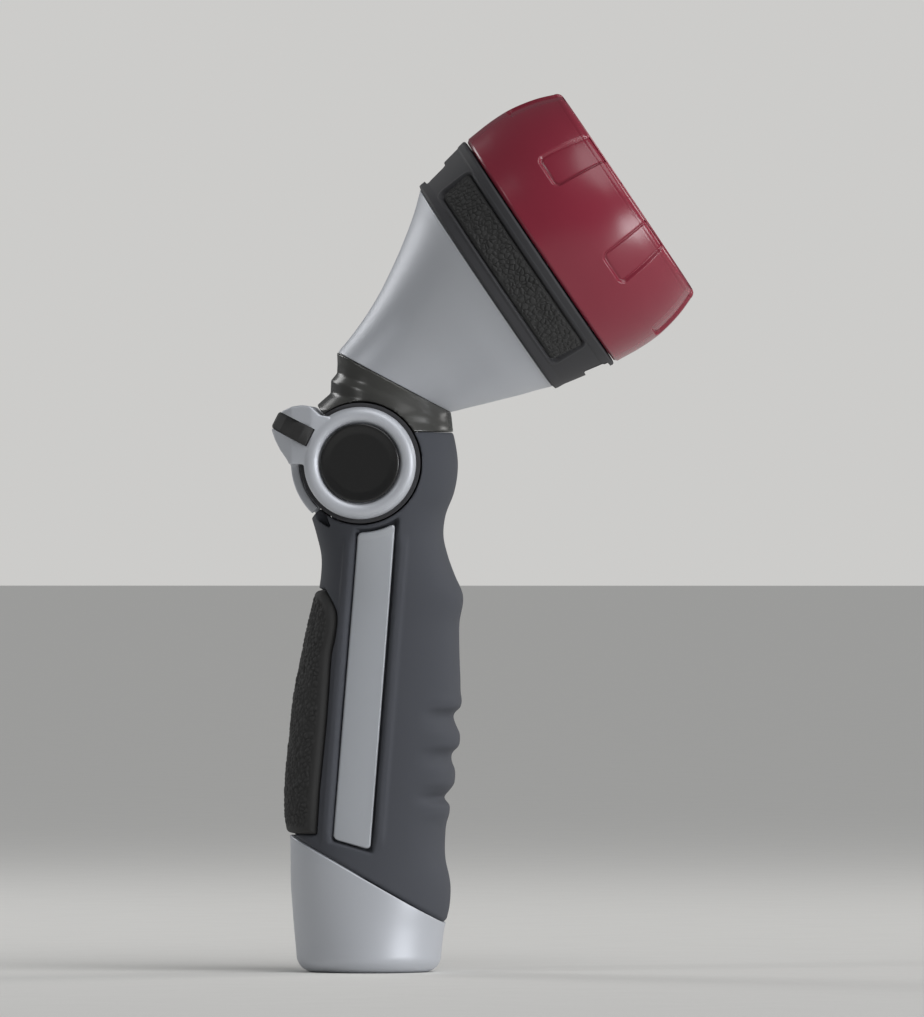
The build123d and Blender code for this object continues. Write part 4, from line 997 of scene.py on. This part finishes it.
def make_lever_pad():
    """The rubber rib across the paddle, with fine grip lines on its outer face."""
    a = math.radians(LEVER_ANGLE)
    out = np.array([math.cos(a), 0, math.sin(a)])
    up = np.array([-math.sin(a), 0, math.cos(a)])
    cols, half = 260, RIB_THICK / 2
    y = np.linspace(-1, 1, cols) * (RING_FACE - 0.05)
    w = RING_FACE
    reach = np.interp(np.abs(y), [0, w - 12, w - 8.5, w - 4.6, w - 1.6, w],
                      [LEVER_TIP, LEVER_TIP, 23.7, 21.6, 18.6, 16.2])
    foot = np.where(np.abs(y) < DRUM_HALF + 0.55, 15.75, 13.95)
    shape = [(0.0, -0.86), (0.0, 0.86), (0.06, 1.0), (0.90, 1.0), (0.97, 0.93), (1.0, 0.70), (1.0, 0.0),
             (1.0, -0.70), (0.97, -0.93), (0.90, -1.0), (0.06, -1.0)]
    ridges = 0.22 * (0.5 + 0.5 * np.cos(y * TURN / 1.7)) * (1 - ease(9.0, 10.5, np.abs(y)))
    rings = []
    for i in range(cols):
        end = math.sqrt(max(0.0, 1 - max(0.0, abs(y[i]) / RING_FACE * 60 - 59) ** 2)) * 0.12 + 0.88
        ring = []
        for share, lift in subdivide_line(shape + [shape[0]], 0.12)[:-1]:
            r = foot[i] + (reach[i] - foot[i]) * share - ridges[i] * (share > 0.94)
            ring.append(out * r + up * lift * half * end + np.array([HUB[0], y[i], HUB[2]]))
        rings.append(ring)
    piece = capped_solid("lever_pad_skin", np.array(rings))
    return dress(piece, "lever", "pebble_rubber", ("lever_pad",))


def make_hub_cap(side):
    """One black cap, dished a little, with a rounded edge."""
    r, y0, y1, edge, sink = CAP_R, CAP_BACK, CAP_FACE, 0.45, 0.14
    rim = rounded_corner(r - edge, y1 - edge, edge, 0, 90, 8)
    dish = [(r - edge - s, y1 - sink * ease(0.0, 2.2, s)) for s in np.linspace(0.3, r - 0.7, 40)]
    profile = [(0.2, y0), (r - 0.2, y0), (r, y0 + 0.2)] + rim + dish
    piece = turned("hub_cap_skin_" + side, profile, 1 if side == "left" else -1, 200)
    return dress(piece, "lever", "gloss_black", ("hub_cap_" + side,))


# ---- operators ---------------------------------------------------------------------------------
class NOZZLE_OT_finishes(Operator):
    """Make the shader groups and every finish, and give the kept solids theirs"""
    bl_idname = "nozzle.finishes"
    bl_label = "Finishes"

    def execute(self, context):
        make_grain_group()
        make_wear_group()
        make_flake_group()
        c = colours()
        rubber, pebble, cap, neck, collar = (tuple(v) for v in (c.rubber, c.pebble, c.cap, c.neck, c.collar))
        core, face, seal = (0.018, 0.018, 0.020, 1), (0.060, 0.062, 0.068, 1), (0.014, 0.014, 0.014, 1)
        for name, colour, second, grain, rough, height, more in (
            ("grip_rubber", rubber, tint(rubber, 1.35), 5200.0, (0.50, 0.64), (0.30, 0.05),
             {"fixed": {"Specular IOR Level": 0.24}, "wear": 0.35, "scratch": 0.10}),
            ("pebble_rubber", pebble, tint(pebble, 1.8), 4200.0, (0.26, 0.40), (0.25, 0.04),
             {"fixed": {"Specular IOR Level": 0.5}, "wear": 0.6, "scratch": 0.05,
              "worn": (0.016, 0.0165, 0.018, 1)}),
            ("gloss_black", cap, tint(cap, 1.25), 2600.0, (0.42, 0.52), (0.08, 0.03),
             {"fixed": {"Specular IOR Level": 0.03}, "wear": 0.2, "scratch": 0.06}),
            ("neck_dark", neck, tint(neck, 1.3), 2200.0, (0.30, 0.42), (0.08, 0.03),
             {"fixed": {"Specular IOR Level": 0.08, "Coat Weight": 0.03, "Coat Roughness": 0.2},
              "wear": 0.35, "scratch": 0.12}),
            ("collar_black", collar, tint(collar, 1.35), 3600.0, (0.42, 0.54), (0.18, 0.04),
             {"fixed": {"Specular IOR Level": 0.32}, "wear": 0.45, "scratch": 0.15}),
            ("core_black", core, (0.028, 0.028, 0.030, 1), 3000.0, (0.45, 0.6), (0.2, 0.04), {}),
            ("face_grey", face, (0.085, 0.087, 0.093, 1), 3000.0, (0.40, 0.52), (0.2, 0.04),
             {"fixed": {"Specular IOR Level": 0.45}, "wear": 0.5, "scratch": 0.2}),
            ("seal_rubber", seal, (0.024, 0.024, 0.024, 1), 4000.0, (0.55, 0.7), (0.2, 0.04), {}),
            ("white_nylon", (0.70, 0.69, 0.64, 1), (0.62, 0.61, 0.56, 1), 2600.0, (0.35, 0.5), (0.1, 0.03),
             {"fixed": {"Subsurface Weight": 0.1, "Subsurface Scale": 0.002}, "wear": 0.2, "scratch": 0.1,
              "worn": (0.55, 0.54, 0.5, 1)}),
        ):
            moulded_material(name, colour, second, grain, rough, height, **more)
        painted_silver("satin_silver", tuple(c.silver), 0.50, (0.26, 0.36), 0.22, 0.22)
        painted_silver("inlay_silver", tuple(c.inlay), 0.45, (0.30, 0.40), 0.22, 0.25)
        # the last colour is the dial's painted lilac edge highlight, also used for its wear and scratches
        dial_material("dial_red", tuple(c.red), tuple(c.deep_red), (0.40, 0.17, 0.32, 1))
        metal_material("spring_steel", (0.56, 0.57, 0.59, 1), (0.22, 0.36), 5200.0)
        metal_material("insert_alloy", (0.72, 0.72, 0.73, 1), (0.24, 0.38), 6400.0)
        for name, item in frame["nodes"].items():
            item.data.materials.clear()
            item.data.materials.append(bpy.data.materials[SLOT_OF[name]])
        return {"FINISHED"}


class NOZZLE_OT_foot(Operator):
    """Make the silver foot and the threaded insert"""
    bl_idname = "nozzle.foot"
    bl_label = "Foot"

    def execute(self, context):
        make_foot()
        make_thread()
        return {"FINISHED"}


class NOZZLE_OT_grip(Operator):
    """Make the rubber sleeve"""
    bl_idname = "nozzle.grip"
    bl_label = "Grip sleeve"

    def execute(self, context):
        make_grip_sleeve()
        return {"FINISHED"}


class NOZZLE_OT_rear_pad(Operator):
    """Make the pebbled pad at the back"""
    bl_idname = "nozzle.rear_pad"
    bl_label = "Rear pad"

    def execute(self, context):
        make_rear_pad()
        return {"FINISHED"}


class NOZZLE_OT_inlays(Operator):
    """Make the two silver strips"""
    bl_idname = "nozzle.inlays"
    bl_label = "Inlays"

    def execute(self, context):
        make_inlay("left")
        make_inlay("right")
        return {"FINISHED"}


class NOZZLE_OT_neck(Operator):
    """Make the neck cover"""
    bl_idname = "nozzle.neck"
    bl_label = "Neck"

    def execute(self, context):
        make_neck()
        return {"FINISHED"}


class NOZZLE_OT_cone(Operator):
    """Make the silver cone"""
    bl_idname = "nozzle.cone"
    bl_label = "Cone"

    def execute(self, context):
        make_cone()
        return {"FINISHED"}


class NOZZLE_OT_collar(Operator):
    """Make the collar ring"""
    bl_idname = "nozzle.collar"
    bl_label = "Collar"

    def execute(self, context):
        make_collar()
        return {"FINISHED"}


class NOZZLE_OT_collar_panels(Operator):
    """Make the collar's pebbled panels"""
    bl_idname = "nozzle.collar_panels"
    bl_label = "Collar panels"

    def execute(self, context):
        make_collar_pad("left")
        make_collar_pad("right")
        return {"FINISHED"}


class NOZZLE_OT_dial(Operator):
    """Make the red dial"""
    bl_idname = "nozzle.dial"
    bl_label = "Dial"

    def execute(self, context):
        make_dial()
        return {"FINISHED"}


class NOZZLE_OT_lever(Operator):
    """Make the silver lever"""
    bl_idname = "nozzle.lever"
    bl_label = "Thumb lever"

    def execute(self, context):
        make_lever()
        return {"FINISHED"}


class NOZZLE_OT_lever_rib(Operator):
    """Make the lever's rubber rib"""
    bl_idname = "nozzle.lever_rib"
    bl_label = "Thumb rib"

    def execute(self, context):
        make_lever_pad()
        return {"FINISHED"}


class NOZZLE_OT_hub_caps(Operator):
    """Make the two black caps"""
    bl_idname = "nozzle.hub_caps"
    bl_label = "Hub caps"

    def execute(self, context):
        make_hub_cap("left")
        make_hub_cap("right")
        return {"FINISHED"}


# ---- stage -------------------------------------------------------------------------------------
VIEW_TALL = 254.25
VIEW_MIDDLE = (0.02325, 0.0, 0.1158)
CAMERA_AWAY = 4.0
SENSOR_TALL = 36.0
FLOOR_REACH = 20000.0
CAMERA_TURN = math.radians(1.8)


def area_light(name, place, size, power, tone=(1, 1, 1)):
    """A soft rectangular light that faces the object and isn't seen itself."""
    light = bpy.data.lights.new(name, "AREA")
    light.shape = "RECTANGLE"
    light.size, light.size_y = size
    light.energy = power
    light.color = tone
    lamp = bpy.data.objects.new(name, light)
    lamp.location = place
    lamp.rotation_euler = (Vector(VIEW_MIDDLE) - Vector(place)).to_track_quat("-Z", "Y").to_euler()
    lamp.visible_camera = False
    bpy.context.scene.collection.objects.link(lamp)


def make_overhead():
    """A wide soft light from above, which lights the whole floor alike."""
    light = bpy.data.lights.new("overhead", "SUN")
    light.energy = 1.5
    light.angle = math.radians(50)
    lamp = bpy.data.objects.new("overhead", light)
    lamp.rotation_euler = (math.radians(24), math.radians(26), 0)
    bpy.context.scene.collection.objects.link(lamp)


def make_surroundings():
    """A pale backdrop to look at and a dimmer grey room to be reflected."""
    world = bpy.data.worlds.new("surroundings")
    world.use_nodes = True
    tree = world.node_tree
    tree.nodes.clear()
    room = add(tree, "Background", None, {0: (0.90, 0.93, 0.97, 1), 1: 0.10})
    backdrop = add(tree, "Background", None, {0: (0.74, 0.735, 0.72, 1), 1: 0.82})
    seen = add(tree, "LightPath").outputs["Is Camera Ray"]
    both = add(tree, "MixShader", None, {0: seen, 1: room.outputs[0], 2: backdrop.outputs[0]})
    add(tree, "OutputWorld", None, {0: both.outputs[0]})
    bpy.context.scene.world = world


def make_camera():
    camera = bpy.data.cameras.new("camera")
    camera.sensor_fit = "VERTICAL"
    camera.sensor_height = SENSOR_TALL
    camera.lens = SENSOR_TALL * CAMERA_AWAY / (VIEW_TALL * MM)
    camera.clip_end = 60.0
    eye = bpy.data.objects.new("camera", camera)
    back = Vector((math.sin(CAMERA_TURN), -math.cos(CAMERA_TURN), 0)) * CAMERA_AWAY
    eye.location = Vector(VIEW_MIDDLE) + back
    eye.rotation_euler = (math.pi / 2, 0, CAMERA_TURN)
    bpy.context.scene.collection.objects.link(eye)
    bpy.context.scene.camera = eye
    bpy.context.scene.view_settings.view_transform = "Standard"


class NOZZLE_OT_stage(Operator):
    """Make the floor, the lights, the surroundings and the camera"""
    bl_idname = "nozzle.stage"
    bl_label = "Stage"

    def execute(self, context):
        c = tuple(colours().floor)
        moulded_material("stage_floor", c, tint(c, 0.97), 600.0, (0.6, 0.7), (0.05, 0.1),
                         {"Specular IOR Level": 0.1}, wear=0.0, scratch=0.0)
        corners = [(FLOOR_REACH * a, FLOOR_REACH * b, 0) for a, b in ((-1, -1), (1, -1), (1, 1), (-1, 1))]
        floor = mesh_object("floor", corners, [[0, 1, 2, 3]])
        floor.data.materials.append(bpy.data.materials["stage_floor"])
        make_surroundings()
        make_overhead()
        area_light("key", (-0.95, -0.55, 0.75), (0.18, 0.40), 1.5)
        area_light("front_fill", (1.15, -0.75, 0.12), (0.8, 0.5), 12.0, (0.97, 0.98, 1.0))
        area_light("back_left", (-0.8, 0.7, 0.6), (0.4, 0.6), 3.0)
        area_light("back_right", (0.9, 0.6, 0.6), (0.4, 0.6), 3.0, (1.0, 0.98, 0.96))
        make_camera()
        return {"FINISHED"}


class NOZZLE_PT_panel(Panel):
    """The nozzle's pieces, sizes and colours"""
    bl_idname = "NOZZLE_PT_panel"
    bl_label = "Hose nozzle"
    bl_space_type = "VIEW_3D"
    bl_region_type = "UI"
    bl_category = "Nozzle"

    def draw(self, context):
        for operator in OPERATORS:
            self.layout.operator(operator.bl_idname)
        for group in (context.scene.nozzle_sizes, context.scene.nozzle_colours):
            for name in group.__annotations__:
                self.layout.prop(group, name)


PIECES = [NOZZLE_OT_foot, NOZZLE_OT_grip, NOZZLE_OT_rear_pad, NOZZLE_OT_inlays, NOZZLE_OT_neck,
          NOZZLE_OT_cone, NOZZLE_OT_collar, NOZZLE_OT_collar_panels, NOZZLE_OT_dial, NOZZLE_OT_lever,
          NOZZLE_OT_lever_rib, NOZZLE_OT_hub_caps]
OPERATORS = [NOZZLE_OT_finishes, NOZZLE_OT_stage] + PIECES
CLASSES = [NozzleSizes, NozzleColours] + OPERATORS + [NOZZLE_PT_panel]


def register():
    for item in CLASSES:
        bpy.utils.register_class(item)
    bpy.types.Scene.nozzle_sizes = PointerProperty(type=NozzleSizes)
    bpy.types.Scene.nozzle_colours = PointerProperty(type=NozzleColours)


def unregister():
    del bpy.types.Scene.nozzle_colours
    del bpy.types.Scene.nozzle_sizes
    for item in reversed(CLASSES):
        bpy.utils.unregister_class(item)


def main():
    """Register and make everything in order."""
    register()
    for operator in OPERATORS:
        getattr(bpy.ops.nozzle, operator.bl_idname.split(".")[1])()


if __name__ == "__main__":
    main()
